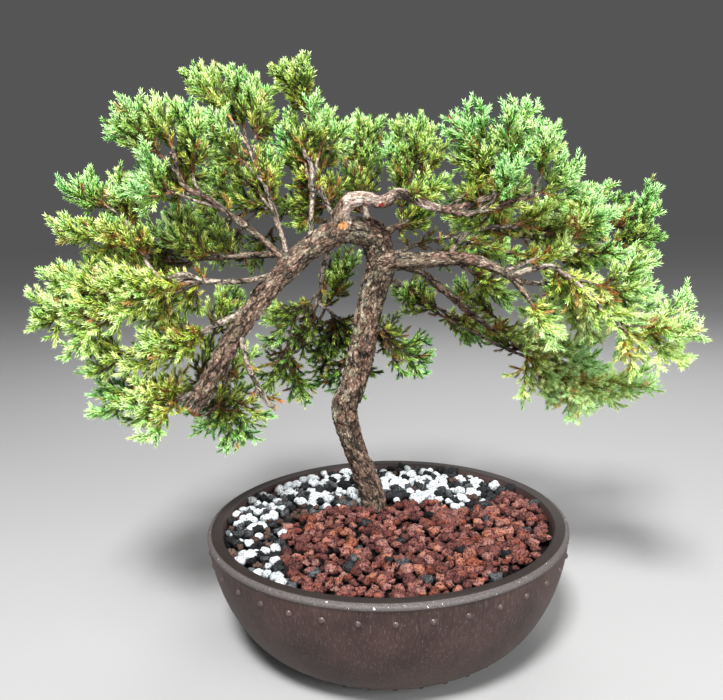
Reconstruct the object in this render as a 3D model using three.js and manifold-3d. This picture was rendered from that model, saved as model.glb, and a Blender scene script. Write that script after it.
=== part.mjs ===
// Procumbens nana juniper bonsai in a round dark drum pot. Millimetres, +Z up, x to the right, y away
// from the viewer. The origin is the centre of the pot's base, on the surface it stands on.
import * as THREE from 'three';
import { mergeVertices } from 'three/addons/utils/BufferGeometryUtils.js';
import Module from 'manifold-3d';

const wasm = await Module();
wasm.setup();
const { Manifold, Mesh } = wasm;

// Space left between neighbouring pieces, and the distance below which two corners are one
const GAP = 0.3;
const MERGE_DISTANCE = 1e-4;

// Pot: a round bowl with a rolled rim, drawn as [radius, height] pairs and turned about z
const POT_SIDES = 32;
const RIM_RADIUS = 127;
const POT_HEIGHT = 83;
const FLOOR = 8;
const OUTER_WALL = [[76, 0], [90, 6.5], [104.5, 19], [116, 38], [122.4, 56], [125.4, 72], [RIM_RADIUS, 79],
  [RIM_RADIUS, 81], [124, POT_HEIGHT], [116.7, POT_HEIGHT - 0.6]];
const INNER_WALL = [[113.4, 60], [99, 28], [76, FLOOR]];

// Nail-head studs round the pot, in two rows
const STUDS_PER_ROW = 37;
const STUD_RADIUS = 2.3;
const STUD_RISE = 1.4;
const STUD_ROOT = 1.5;
const STUD_FLARE = 2.07;
const STUD_ROWS = [{ height: 70.5, radius: 124.7, lean: 0.14 }, { height: 10, radius: 93.5, lean: 0.95 }];

// Soil and the red stones laid on its front half
const SOIL_EDGE_HEIGHT = 77;
const SOIL_RISE = 4.5;
const SOIL_RISE_WIDTH = 55;
const RED_FLOOR = 66;
const BED_RADIUS = 112.8;
const SLAB_OVERLAP = 4;
const RED_LIFT = 1.5;
const RED_MARGIN = 0.39;
const BED_SEED = 5;
const SOIL_SEED = 23;
const RED_SEED = 41;
const STONE_PITCH = 16.7;
const STONE_SHAKE = 4.5;
const STONE_RELIEF = 5.5;
const RED_PLAN = [[-75, -140], [140, -140], [140, 53], [99, 53], [80, 33], [68, 11], [53, 9], [34, 30],
  [8, 23], [-14, 24], [-35, 21], [-58, 14], [-70, -12], [-75, -36], [-68, -59], [-58, -97]];

// Trunk foot, set in a plain hole
const TRUNK_X = -9;
const TRUNK_Y = 20;
const TRUNK_FOOT = 58;
const TRUNK_FOOT_TOP = 87;
const TRUNK_FOOT_RADIUS = 9.8;
const TRUNK_SIDES = 8;
const HOLE_REACH = 11.9;
const HOLE_DEPTH = 60;

// Leafy shoots: a slim three-sided core with a needle drawn out of every facet
const CORE_RADIUS = 1.25;
const NEEDLE_OUT = 3.1;
const NEEDLE_AHEAD = 4.6;
const BUD_LENGTH = 6;
const LEAF_GAP = 0.6;
const SPRAY_LENGTH = 46;
const SPRAY_STEPS = 4;
const SHOOT_REACH = 3.9;
const AXIS_REACH = 2.6;
const TWIG_RADIUS = 1.35;
const WAY_LENGTH = 54;
const LOWEST_TWIG = 0.45;
const SHORTEST_SPRAY = 24;
const WAY_STEPS = 24;
const WAY_BEND = 0.22;
const WAY_SAG = 0.1;
const SIDE_TILT = 0.85;
const SIDE_TURN = 0.25;
const SIDE_LIFT = 0.15;
const SIDE_STRETCH = 9;
const STALK_LENGTH = 6.5;
const SEED = 11;
const SIDE_SHOOTS = [{ step: 0, leafySteps: 2 }, { step: 1, leafySteps: 2 }, { step: 2, leafySteps: 1 }];

// Branches, base to tip: route points, thickness as a radius at both ends, and the tips their sprays reach
const LIMBS = {
  left_main: { thick: 10.4, thin: 6.3, sides: 7, sprays: [], route: [[-3, 8, 282], [-23, 2, 287],
    [-41, -5, 279], [-65, -16, 260], [-93, -27, 227], [-126, -40, 175]] },
  top_branch: { thick: 6.6, thin: 2.4, sides: 6, sprays: [[83, -30, 362], [51, -14, 358]],
    route: [[-28, 0, 286], [-26, -5, 297], [-20, -8, 305], [-11, -10, 307], [2, -12, 304], [13, -14, 309],
    [27, -18, 303], [43, -22, 298], [71, -30, 305]] },
  top_fork: { thick: 2.8, thin: 1.8, sides: 4, sprays: [[100, -44, 344], [119, -42, 318], [80, -50, 325]],
    route: [[41, -22, 299], [56, -30, 295], [90, -38, 303]] },
  top_back: { thick: 3.6, thin: 1.9, sides: 4, sprays: [[33, 56, 365], [10, 50, 350]],
    route: [[-1, 12, 281], [9, 22, 286], [23, 32, 293], [29, 42, 303]] },
  right_main: { thick: 7, thin: 2.1, sides: 6, sprays: [[113, -26, 224]], route: [[-1, 10, 264],
    [28, -4, 265], [50, -12, 266], [66, -18, 263], [84, -28, 253], [93, -34, 240]] },
  right_high: { thick: 2.6, thin: 1.7, sides: 4, sprays: [[152, 32, 311], [200, 26, 303], [202, 18, 279]],
    route: [[46, -10, 267], [53, -4, 278], [66, 2, 285], [94, 12, 285], [123, 20, 277]] },
  right_mid: { thick: 2.3, thin: 1.6, sides: 4, sprays: [[158, 0, 263], [150, -6, 295]],
    route: [[78, -24, 257], [95, -18, 262], [120, -8, 272]] },
  right_low: { thick: 2.7, thin: 1.7, sides: 4, sprays: [[190, -50, 227], [165, -50, 248],
    [190, -44, 206]], route: [[81, -27, 255], [102, -40, 261], [109, -42, 259], [125, -46, 246],
    [139, -46, 230]] },
  right_drop: { thick: 2.4, thin: 1.6, sides: 4, sprays: [[176, -10, 204]], route: [[84, -28, 253],
    [105, -14, 248], [147, -6, 248]] },
  right_under: { thick: 4, thin: 1.9, sides: 4, sprays: [[199, 16, 169], [150, 20, 150], [128, 26, 158],
    [152, 6, 194]], route: [[3, 16, 262], [25, 18, 258], [43, 24, 244], [73, 32, 218], [99, 34, 203],
    [129, 30, 187]] },
  rise_top: { thick: 2.4, thin: 1.6, sides: 4, sprays: [[-58, 12, 401], [-32, 14, 365]],
    route: [[-47, -8, 276], [-44, 2, 326], [-49, 6, 338], [-46, 10, 358]] },
  rise_near: { thick: 2.8, thin: 1.6, sides: 4, sprays: [[-26, 36, 358], [-58, 26, 348]],
    route: [[-26, 1, 287], [-36, 10, 307], [-41, 20, 323]] },
  rise_crown: { thick: 2.8, thin: 1.7, sides: 4, sprays: [[-118, 12, 401], [-93, 20, 395], [-73, 28, 385],
    [-112, -6, 360]], route: [[-61, -12, 266], [-68, -4, 293], [-76, 4, 317], [-86, 10, 342]] },
  rise_left: { thick: 3.2, thin: 1.7, sides: 4, sprays: [[-137, -28, 369], [-163, -34, 361],
    [-149, -38, 322], [-115, -22, 365]], route: [[-62, -13, 266], [-75, -20, 281], [-108, -28, 309],
    [-123, -30, 317], [-128, -28, 338]] },
  reach_left: { thick: 3.2, thin: 1.7, sides: 4, sprays: [[-188, 26, 297], [-150, 32, 301],
    [-178, 34, 272]], route: [[-52, -10, 273], [-88, 10, 271], [-127, 22, 270], [-156, 28, 277]] },
  pale_left: { thick: 2.6, thin: 1.6, sides: 4, sprays: [[-220, -46, 252], [-207, -38, 268],
    [-196, -52, 231]], route: [[-67, -17, 260], [-86, -30, 257], [-110, -40, 258], [-125, -44, 263],
    [-139, -46, 257], [-160, -46, 247], [-173, -46, 242]] },
  pale_up: { thick: 1.8, thin: 1.5, sides: 4, sprays: [[-192, -26, 319], [-168, -22, 314],
    [-204, -32, 291]], route: [[-136, -46, 258], [-148, -38, 271], [-148, -36, 276], [-164, -28, 300]] },
  under_left: { thick: 3.2, thin: 1.8, sides: 4, sprays: [[-190, -42, 217]], route: [[-83, -24, 240],
    [-118, -36, 224], [-145, -42, 211], [-158, -44, 214]] },
  low_left: { thick: 2.6, thin: 1.7, sides: 4, sprays: [[-187, -36, 191], [-157, -54, 173]],
    route: [[-118, -37, 188], [-135, -44, 183], [-149, -46, 187]] },
  cut_twig: { thick: 2.6, thin: 2.1, sides: 5, sprays: [], route: [[-93, -27, 227], [-89, -38, 207],
    [-78, -44, 183], [-70, -46, 176]] },
  hang_left: { thick: 2.2, thin: 1.5, sides: 4, sprays: [[-123, 2, 151], [-97, 8, 138]],
    route: [[-99, -28, 217], [-107, -10, 194], [-107, -4, 184]] },
  back_hang: { thick: 2.8, thin: 1.6, sides: 4, sprays: [[-66, 54, 159], [-86, 56, 218]],
    route: [[-30, 6, 283], [-40, 26, 261], [-46, 42, 233], [-65, 46, 219], [-68, 50, 196]] },
  back_fork: { thick: 1.8, thin: 1.5, sides: 4, sprays: [[-35, 56, 158]], route: [[-46, 41, 234],
    [-29, 46, 219], [-24, 50, 210]] },
  low_right_twig: { thick: 2, thin: 1.5, sides: 4, sprays: [[36, 38, 188]], route: [[-8, 15, 225],
    [2, 26, 211]] },
  back_crown: { thick: 3.2, thin: 1.8, sides: 4, sprays: [[4, 68, 366]], route: [[-5, 14, 276],
    [-10, 40, 307], [-14, 54, 328]] },
  back_right: { thick: 3.2, thin: 1.8, sides: 4, sprays: [[104, 106, 268]], route: [[3, 16, 264],
    [25, 50, 273], [57, 78, 279]] },
  back_left: { thick: 3.2, thin: 1.8, sides: 4, sprays: [[-136, 98, 334], [-150, 92, 288]],
    route: [[-12, 12, 281], [-42, 48, 294], [-88, 78, 305]] },
  back_low: { thick: 2.8, thin: 1.7, sides: 4, sprays: [[85, 88, 194]], route: [[0, 18, 257],
    [23, 56, 240], [44, 74, 226]] },
};
const TRUNK_ROUTE = [[TRUNK_X, TRUNK_Y, TRUNK_FOOT], [TRUNK_X, TRUNK_Y, TRUNK_FOOT_TOP], [-19, 21, 120],
  [-26, 20, 142], [-28, 20, 160], [-21, 18, 177], [-13, 16, 207], [-7, 14, 237], [0, 12, 261], [-3, 8, 282],
  [-10, 4, 291]];
const TRUNK_RADII = [TRUNK_FOOT_RADIUS, TRUNK_FOOT_RADIUS, 8.7, 9.3, 10, 9.9, 9.8, 9.6, 10.8, 10.4, 6];

// Surface colours
const COLOURS = { pot: '#2e2624', soil: '#8d8a86', red: '#8e4337', wood: '#77604f', foliage: '#6f9a45' };

const vector = ([x, y, z]) => new THREE.Vector3(x, y, z);
const UP = vector([0, 0, 1]);

// A repeatable stream of draws between 0 and 1
function draws(seed) {
  let state = seed;
  return () => {
    state = (state * 16807) % 2147483647;
    return state / 2147483647;
  };
}

// A closed solid from a geometry, its shared corners merged
function solidFrom(geometry) {
  geometry.deleteAttribute('normal');
  geometry.deleteAttribute('uv');
  const { attributes, index } = mergeVertices(geometry, MERGE_DISTANCE);
  return new Manifold(new Mesh({ numProp: 3, vertProperties: attributes.position.array,
    triVerts: new Uint32Array(index.array) }));
}

// A closed solid from corner points and triangles
function solid(points, triangles) {
  const geometry = new THREE.BufferGeometry();
  geometry.setAttribute('position', new THREE.Float32BufferAttribute(points.flat(), 3));
  geometry.setIndex(triangles.flat());
  return solidFrom(geometry);
}

// Directions along a route, and a pair of crosswise directions carried along it without twist
function framesAlong(route, firstAcross = null) {
  const frames = [];
  let across = firstAcross;
  for (let i = 0; i < route.length; i += 1) {
    const before = route[Math.max(i - 1, 0)];
    const after = route[Math.min(i + 1, route.length - 1)];
    const ahead = after.clone().sub(before).normalize();
    if (across === null) across = Math.abs(ahead.x) > 0.9 ? vector([0, 1, 0]) : vector([1, 0, 0]);
    across = across.clone().addScaledVector(ahead, -across.dot(ahead)).normalize();
    frames.push({ ahead, across, aside: ahead.clone().cross(across) });
  }
  return frames;
}

// A ring of corners round one point of a route
function ring(centre, frame, radius, sides, turn) {
  const corners = [];
  for (let k = 0; k < sides; k += 1) {
    const angle = (2 * Math.PI * k) / sides + turn;
    corners.push(centre.clone().addScaledVector(frame.across, radius * Math.cos(angle))
      .addScaledVector(frame.aside, radius * Math.sin(angle)));
  }
  return corners;
}

// A tapering branch with flat ends
function branch(route, radii, sides) {
  const frames = framesAlong(route);
  const corners = route.flatMap((point, i) => ring(point, frames[i], radii[i], sides, 0));
  const faces = [];
  for (let i = 0; i + 1 < route.length; i += 1) {
    for (let k = 0; k < sides; k += 1) {
      const a = i * sides + k;
      const b = i * sides + ((k + 1) % sides);
      faces.push([a, b, b + sides], [a, b + sides, a + sides]);
    }
  }
  const last = (route.length - 1) * sides;
  for (let k = 1; k + 1 < sides; k += 1) {
    faces.push([0, k + 1, k], [last, last + k, last + k + 1]);
  }
  return solid(corners.map((corner) => corner.toArray()), faces);
}

// The facets between two rings of three corners, the upper one turned half a step
function facetsBetween(low, high) {
  const facets = [];
  for (let k = 0; k < 3; k += 1) {
    const next = (k + 1) % 3;
    facets.push([low[k], low[next], high[k]], [low[next], high[next], high[k]]);
  }
  return facets;
}

// The rings of a shoot's core, each turned half a step from the last
function coreRings(route, frames, firstTurn) {
  return route.map((point, i) => {
    const radius = CORE_RADIUS * (1 - (0.35 * i) / route.length);
    return ring(point, frames[i], radius, 3, firstTurn + (i * Math.PI) / 3);
  });
}

// Middle and outward direction of a facet
function facing([a, b, c]) {
  const middle = a.clone().add(b).add(c).divideScalar(3);
  const outward = b.clone().sub(a).cross(c.clone().sub(a)).normalize();
  return { middle, outward };
}

// A spray as one closed skin: an axis, side shoots grown out of its facets, needles on the other facets
function leafySpray({ axis, sides }) {
  const corners = [];
  const faces = [];
  const keep = (ringCorners) => ringCorners.map((corner) => corners.push(corner) - 1);
  const close = (last, ahead, centre) => {
    const [bud] = keep([centre.clone().addScaledVector(ahead, BUD_LENGTH)]);
    faces.push([last[0], last[1], bud], [last[1], last[2], bud], [last[2], last[0], bud]);
  };
  const needle = (facet, ahead) => {
    const { middle, outward } = facing(facet.map((index) => corners[index]));
    const [tip] = keep([middle.addScaledVector(outward, NEEDLE_OUT).addScaledVector(ahead, NEEDLE_AHEAD)]);
    faces.push([facet[0], facet[1], tip], [facet[1], facet[2], tip], [facet[2], facet[0], tip]);
  };
  const frames = framesAlong(axis);
  const rings = coreRings(axis, frames, 0).map(keep);
  faces.push([rings[0][0], rings[0][2], rings[0][1]]);
  for (let i = 0; i + 1 < axis.length; i += 1) {
    const ahead = axis[i + 1].clone().sub(axis[i]).normalize();
    facetsBetween(rings[i], rings[i + 1]).forEach((facet, k) => {
      const side = sides.find(({ step, facet: chosen }) => step === i && chosen === k);
      if (side === undefined) {
        needle(facet, ahead);
        return;
      }
      const { route, sideFrames, firstTurn } = side;
      let low = facet;
      coreRings(route, sideFrames, firstTurn).slice(1).map(keep).forEach((high, n) => {
        const heading = route[n + 1].clone().sub(route[n]).normalize();
        for (const part of facetsBetween(low, high)) {
          if (n === 0) faces.push(part);
          else needle(part, heading);
        }
        low = high;
      });
      close(low, sideFrames[route.length - 1].ahead, route[route.length - 1]);
    });
  }
  close(rings[axis.length - 1], frames[axis.length - 1].ahead, axis[axis.length - 1]);
  return solid(corners.map((corner) => corner.toArray()), faces);
}

// Length of a route
function lengthOf(route) {
  let total = 0;
  for (let i = 0; i + 1 < route.length; i += 1) total += route[i].distanceTo(route[i + 1]);
  return total;
}

// The point a given distance along a route
function pointAlong(route, distance) {
  let left = distance;
  for (let i = 0; i + 1 < route.length; i += 1) {
    const step = route[i].distanceTo(route[i + 1]);
    if (left <= step || i + 2 === route.length) return route[i].clone().lerp(route[i + 1], left / step);
    left -= step;
  }
  return route[0].clone();
}

// Shortest distance between two straight stretches, p to q and s to t
function stretchDistance(p, q, s, t) {
  const u = q.clone().sub(p);
  const v = t.clone().sub(s);
  const w = p.clone().sub(s);
  const uu = u.dot(u);
  const uv = u.dot(v);
  const vv = v.dot(v);
  const spread = uu * vv - uv * uv;
  const limit = (value) => Math.min(1, Math.max(0, value));
  let along = spread > 1e-9 ? limit((uv * v.dot(w) - vv * u.dot(w)) / spread) : 0;
  const beside = limit((uv * along + v.dot(w)) / vv);
  along = limit((uv * beside - u.dot(w)) / uu);
  return p.clone().addScaledVector(u, along).distanceTo(s.clone().addScaledVector(v, beside));
}

// Room left between a route with needles and everything grown so far, apart from one owner's stretches
function roomAround(route, grown, skipped) {
  let room = Infinity;
  for (let i = 0; i + 1 < route.length; i += 1) {
    for (const other of grown) {
      if (other.owner === skipped) continue;
      const apart = stretchDistance(route[i], route[i + 1], other.from, other.to);
      room = Math.min(room, apart - other.reach - SHOOT_REACH - GAP);
    }
  }
  return room;
}

// Adds a route's stretches to what has grown
function record(grown, route, reach, owner) {
  for (let i = 0; i + 1 < route.length; i += 1) {
    grown.push({ from: route[i], to: route[i + 1], reach, owner });
  }
}

// A curved way from a branch to a spray's tip: it leaves along the branch, sags and turns up at the end
function wayToTip(route, tip, leading) {
  const total = lengthOf(route);
  let at = total;
  while (!leading && at > LOWEST_TWIG * total && pointAlong(route, at).distanceTo(tip) < WAY_LENGTH) at -= 2;
  const start = pointAlong(route, at);
  const along = start.clone().sub(pointAlong(route, at - 4)).normalize();
  const straight = tip.clone().sub(start);
  const reach = straight.length();
  const bend = start.clone().add(tip).multiplyScalar(0.5)
    .addScaledVector(along.sub(straight.normalize()), WAY_BEND * reach).addScaledVector(UP, -WAY_SAG * reach);
  const way = [];
  for (let i = 0; i <= WAY_STEPS; i += 1) {
    const t = i / WAY_STEPS;
    way.push(start.clone().multiplyScalar((1 - t) ** 2).addScaledVector(bend, 2 * t * (1 - t))
      .addScaledVector(tip, t * t));
  }
  return way;
}

// How far along a way its leaves begin: as low as the spray's length and the wood around it allow
function leafStart(way, grown, skipped) {
  const total = lengthOf(way);
  const lowest = Math.max(total - SPRAY_LENGTH, 0);
  let start = Math.max(total - SHORTEST_SPRAY, 0);
  while (start > lowest) {
    const stretch = [pointAlong(way, start - 1), pointAlong(way, start)];
    if (roomAround(stretch, grown, skipped) < 0) break;
    start -= 1;
  }
  return Math.max(start, lowest);
}

// The evenly stepped axis of a spray, from where its leaves begin to its bud
function axisAlong(way, start) {
  const leafy = lengthOf(way) - BUD_LENGTH - start - LEAF_GAP;
  const axis = [];
  for (let i = 0; i <= SPRAY_STEPS; i += 1) {
    axis.push(pointAlong(way, start + LEAF_GAP + (leafy * i) / SPRAY_STEPS));
  }
  return axis;
}

// A side shoot out of one facet of an axis, grown from the facet with the most room before it
function sideShoot({ name, axis }, rings, step, leafySteps, grown, stretch) {
  const ahead = axis[step + 1].clone().sub(axis[step]).normalize();
  let best = { room: -Infinity };
  facetsBetween(rings[step], rings[step + 1]).forEach((corners, facet) => {
    const { middle, outward } = facing(corners);
    const heading = ahead.clone().multiplyScalar(Math.cos(SIDE_TILT))
      .addScaledVector(outward, Math.sin(SIDE_TILT)).normalize();
    const route = [middle, middle.clone().addScaledVector(heading, STALK_LENGTH)];
    for (let i = 0; i < leafySteps; i += 1) {
      heading.addScaledVector(ahead, SIDE_TURN).addScaledVector(UP, SIDE_LIFT).normalize();
      route.push(route[i + 1].clone().addScaledVector(heading, stretch));
    }
    const leafy = [...route.slice(1), route[leafySteps + 1].clone().addScaledVector(heading, BUD_LENGTH)];
    const room = roomAround(leafy, grown, name);
    if (room > best.room) best = { room, step, facet, route, leafy, corners };
  });
  return best;
}

// Frames along a side shoot, set out from the short edge of the facet it grows from
function settle(side) {
  const { route, corners, facet } = side;
  const short = facet % 2;
  const [p, q] = [corners[short], corners[(short + 1) % 3]];
  const toShort = p.clone().add(q).multiplyScalar(0.5).sub(route[0]);
  side.sideFrames = framesAlong(route, toShort);
  side.firstTurn = (-2 * Math.PI * short) / 3 - Math.PI / 3;
  return side;
}

// The trunk and limbs as routes with a radius at each point
function limbRoutes() {
  const limbs = [{ name: 'trunk', route: TRUNK_ROUTE.map(vector), radii: TRUNK_RADII, sides: TRUNK_SIDES }];
  for (const [name, { thick, thin, sides, route }] of Object.entries(LIMBS)) {
    const radii = route.map((_, i) => thick + ((thin - thick) * i) / (route.length - 1));
    limbs.push({ name, route: route.map(vector), radii, sides });
  }
  return limbs;
}

// Everything that grows: limbs first, then each spray's twig and axis, then the side shoots
function grow() {
  const draw = draws(SEED);
  const limbs = limbRoutes();
  const grown = [];
  for (const { name, route, radii } of limbs) {
    route.slice(1).forEach((point, i) => {
      grown.push({ from: route[i], to: point, reach: radii[i], owner: name });
    });
  }
  const sprays = [];
  for (const { name: limb, route } of limbs.slice(1)) {
    const tips = LIMBS[limb].sprays;
    for (let i = tips.length - 1; i >= 0; i -= 1) {
      const name = `spray_${limb}_${i + 1}`;
      const tip = vector(tips[i]);
      const leading = i === 0;
      const way = wayToTip(route, tip, leading);
      const start = leafStart(way, grown, leading ? limb : null);
      const axis = axisAlong(way, start);
      const twig = start > 0 ? [way[0], pointAlong(way, start)] : [];
      record(grown, twig, TWIG_RADIUS, name);
      record(grown, [...axis, tip], AXIS_REACH, name);
      sprays.push({ name, limb, leading, twig, axis, sides: [] });
    }
  }
  for (const spray of sprays) {
    const rings = coreRings(spray.axis, framesAlong(spray.axis), 0);
    for (const { step, leafySteps } of SIDE_SHOOTS) {
      const stretch = SIDE_STRETCH * (0.85 + 0.3 * draw());
      const side = sideShoot(spray, rings, step, leafySteps, grown, stretch);
      if (side.room < 0) continue;
      spray.sides.push(settle(side));
      record(grown, side.leafy, SHOOT_REACH, null);
    }
  }
  return { limbs, sprays };
}

// The trunk and every branch and bare twig as one piece of wood
function wood(limbs, sprays) {
  const pieces = limbs.map(({ name, route, radii, sides }) => {
    const leader = sprays.find((spray) => spray.limb === name && spray.leading);
    const onward = leader === undefined ? [] : leader.twig.slice(1);
    return branch([...route, ...onward], [...radii, ...onward.map(() => TWIG_RADIUS)], sides);
  });
  const twigs = sprays.filter(({ leading }) => !leading)
    .map(({ twig }) => branch(twig, [TWIG_RADIUS, TWIG_RADIUS], 3));
  return Manifold.union([...pieces, ...twigs]);
}

// A solid turned about z from [radius, height] pairs
function turned(profile) {
  const outline = profile.map(([radius, height]) => new THREE.Vector2(radius, height));
  return solidFrom(new THREE.LatheGeometry(outline, POT_SIDES).rotateX(Math.PI / 2));
}

// The fill of the pot, a gap inside its wall and cut off level where the red stones begin
function fill() {
  const wall = INNER_WALL.map(([radius, height]) => [radius - GAP, height + GAP]);
  const [[brim]] = wall;
  return turned([[0, FLOOR + GAP], ...wall.reverse(), [brim, RED_FLOOR], [0, RED_FLOOR]]);
}

// Studs standing proud of the wall, four-sided and pointed outward
function studs() {
  const pieces = [];
  for (const { height, radius, lean } of STUD_ROWS) {
    for (let i = 0; i < STUDS_PER_ROW; i += 1) {
      const stud = new THREE.ConeGeometry(STUD_RADIUS * STUD_FLARE, STUD_RISE + STUD_ROOT, 4)
        .translate(0, (STUD_RISE - STUD_ROOT) / 2, 0)
        .rotateZ(-Math.PI / 2 - lean)
        .rotateX(Math.PI / 2)
        .translate(radius, 0, height)
        .rotateZ((2 * Math.PI * i) / STUDS_PER_ROW - Math.PI / 2);
      pieces.push(solidFrom(stud));
    }
  }
  return pieces;
}

function pot() {
  const bowl = turned([[0, 0], ...OUTER_WALL, ...INNER_WALL, [0, FLOOR]]);
  return Manifold.union([bowl, ...studs()]);
}

// Soil height, a low mound round the trunk
function soilHeight(x, y) {
  const away = ((x - TRUNK_X) ** 2 + (y - TRUNK_Y) ** 2) / SOIL_RISE_WIDTH ** 2;
  return SOIL_EDGE_HEIGHT + SOIL_RISE * Math.exp(-away);
}

// Whether a place lies in the red stones' plan, which is closed round the front of the pot
function isRed(x, y) {
  let inside = false;
  RED_PLAN.forEach(([ax, ay], i) => {
    const [bx, by] = RED_PLAN[(i + 1) % RED_PLAN.length];
    if ((ay > y) !== (by > y) && x < ((bx - ax) * (y - ay)) / (by - ay) + ax) inside = !inside;
  });
  return inside;
}

// Keeps a place inside the round bed of stones
function heldIn([x, y]) {
  const away = Math.hypot(x, y);
  return away > BED_RADIUS ? [(x * BED_RADIUS) / away, (y * BED_RADIUS) / away] : [x, y];
}

// A honeycomb of stone places laid out from the trunk, its corners shaken a little
function honeycomb() {
  const draw = draws(BED_SEED);
  const reach = STONE_PITCH / Math.sqrt(3);
  const rowPitch = 1.5 * reach;
  const span = Math.ceil((1.3 * RIM_RADIUS) / rowPitch);
  const shaken = new Map();
  const cornerAt = (x, y) => {
    const key = `${Math.round((2 * x) / STONE_PITCH)},${Math.round((3 * y) / rowPitch)}`;
    if (!shaken.has(key)) {
      const open = Math.hypot(x, y) < reach * 1.1 ? HOLE_REACH / reach : 1;
      const shake = open > 1 ? 0 : STONE_SHAKE;
      const across = TRUNK_X + open * x + shake * (draw() - 0.5);
      const away = TRUNK_Y + open * y + shake * (draw() - 0.5);
      shaken.set(key, { key, place: heldIn([across, away]) });
    }
    return shaken.get(key);
  };
  const cells = [];
  for (let row = -span; row <= span; row += 1) {
    for (let column = -span; column <= span; column += 1) {
      const x = STONE_PITCH * (column + (row % 2 ? 0.5 : 0));
      const y = rowPitch * row;
      const corners = [1, 3, 5, 7, 9, 11].map((k) => {
        const angle = (k * Math.PI) / 6;
        return cornerAt(x + reach * Math.cos(angle), y + reach * Math.sin(angle));
      });
      const area = planArea(corners.map(({ place }) => place));
      const whole = 1.5 * Math.sqrt(3) * reach * reach;
      if (area > 0.3 * whole && !(row === 0 && column === 0)) cells.push({ corners, area });
    }
  }
  return cells;
}

// Area of a polygon in plan
function planArea(places) {
  return places.reduce((sum, [x, y], i) => {
    const [nx, ny] = places[(i + 1) % places.length];
    return sum + (x * ny - nx * y) / 2;
  }, 0);
}

// Mean of a few places
function mean(places) {
  return [0, 1].map((axis) => places.reduce((sum, place) => sum + place[axis], 0) / places.length);
}

// A slab topped with one faceted stone per cell: a ring of valley corners and a raised three-cornered top
function stoneSlab(cells, bottom, lift, margin, seed) {
  const draw = draws(seed);
  const owners = new Map();
  for (const { corners } of cells) {
    const middle = mean(corners.map(({ place }) => place));
    for (const { key } of corners) owners.set(key, [...(owners.get(key) ?? []), middle]);
  }
  const points = [];
  const placed = new Map();
  const valley = ({ key, place: [x, y] }) => {
    if (!placed.has(key)) {
      const [mx, my] = mean(owners.get(key));
      const away = Math.hypot(mx - x, my - y);
      const inward = owners.get(key).length < 3 ? margin / away : 0;
      const [px, py] = [x + (mx - x) * inward, y + (my - y) * inward];
      const depth = STONE_RELIEF * (0.4 + 0.2 * draw());
      placed.set(key, points.push([px, py, soilHeight(px, py) + lift - depth]) - 1);
    }
    return placed.get(key);
  };
  const faces = [];
  const underside = [];
  for (const { corners } of cells) {
    const middle = mean(corners.map(({ place }) => place));
    const low = corners.map(valley);
    for (let k = 1; k < 5; k += 1) underside.push([low[0], low[k + 1], low[k]]);
    const first = draw() < 0.5 ? 0 : 1;
    const top = [0, 2, 4].map((k) => {
      const [ex, ey] = mean([corners[(k + first) % 6].place, corners[(k + first + 1) % 6].place]);
      const out = 0.45 + 0.25 * draw();
      const [x, y] = [middle[0] + (ex - middle[0]) * out, middle[1] + (ey - middle[1]) * out];
      return points.push([x, y, soilHeight(x, y) + lift + STONE_RELIEF * (0.1 + 0.5 * draw())]) - 1;
    });
    faces.push(top);
    for (let k = 0; k < 3; k += 1) {
      const [p, q, r] = [0, 1, 2].map((n) => low[(2 * k + first + n) % 6]);
      const next = top[(k + 1) % 3];
      faces.push([p, q, top[k]], [q, next, top[k]], [q, r, next]);
    }
  }
  return skirted(points, faces, underside, bottom);
}

// Closes a surface seen from above with a wall round each edge and a flat underside
function skirted(points, faces, underside, bottom) {
  const lower = new Map();
  const below = (index) => {
    if (!lower.has(index)) {
      const [x, y] = points[index];
      lower.set(index, points.push([x, y, bottom]) - 1);
    }
    return lower.get(index);
  };
  const directed = new Set(faces.flatMap(([a, b, c]) => [`${a},${b}`, `${b},${c}`, `${c},${a}`]));
  const closed = [...faces, ...underside.map((face) => face.map(below))];
  for (const [a, b, c] of faces) {
    for (const [p, q] of [[a, b], [b, c], [c, a]]) {
      if (!directed.has(`${q},${p}`)) closed.push([q, p, below(p)], [q, below(p), below(q)]);
    }
  }
  return solid(points, closed);
}

// The soil: the fill with the trunk's hole in it, and stones on top where no red ones lie
function soil(cells) {
  const hole = new THREE.CylinderGeometry(HOLE_REACH, HOLE_REACH, HOLE_DEPTH, 6).rotateX(Math.PI / 2)
    .translate(TRUNK_X, TRUNK_Y, TRUNK_FOOT - GAP + HOLE_DEPTH / 2);
  const stones = stoneSlab(cells, RED_FLOOR - SLAB_OVERLAP, 0, 0, SOIL_SEED);
  return fill().subtract(solidFrom(hole)).add(stones);
}

// A named mesh from a solid
function named(name, shape, colour) {
  const { numProp, vertProperties, triVerts } = shape.getMesh();
  const geometry = new THREE.BufferGeometry();
  const positions = [];
  for (let i = 0; i < vertProperties.length; i += numProp) positions.push(...vertProperties.slice(i, i + 3));
  geometry.setAttribute('position', new THREE.Float32BufferAttribute(positions, 3));
  geometry.setIndex(Array.from(triVerts));
  const mesh = new THREE.Mesh(geometry, new THREE.MeshStandardMaterial({ color: colour, flatShading: true }));
  mesh.name = name;
  return mesh;
}

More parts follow.
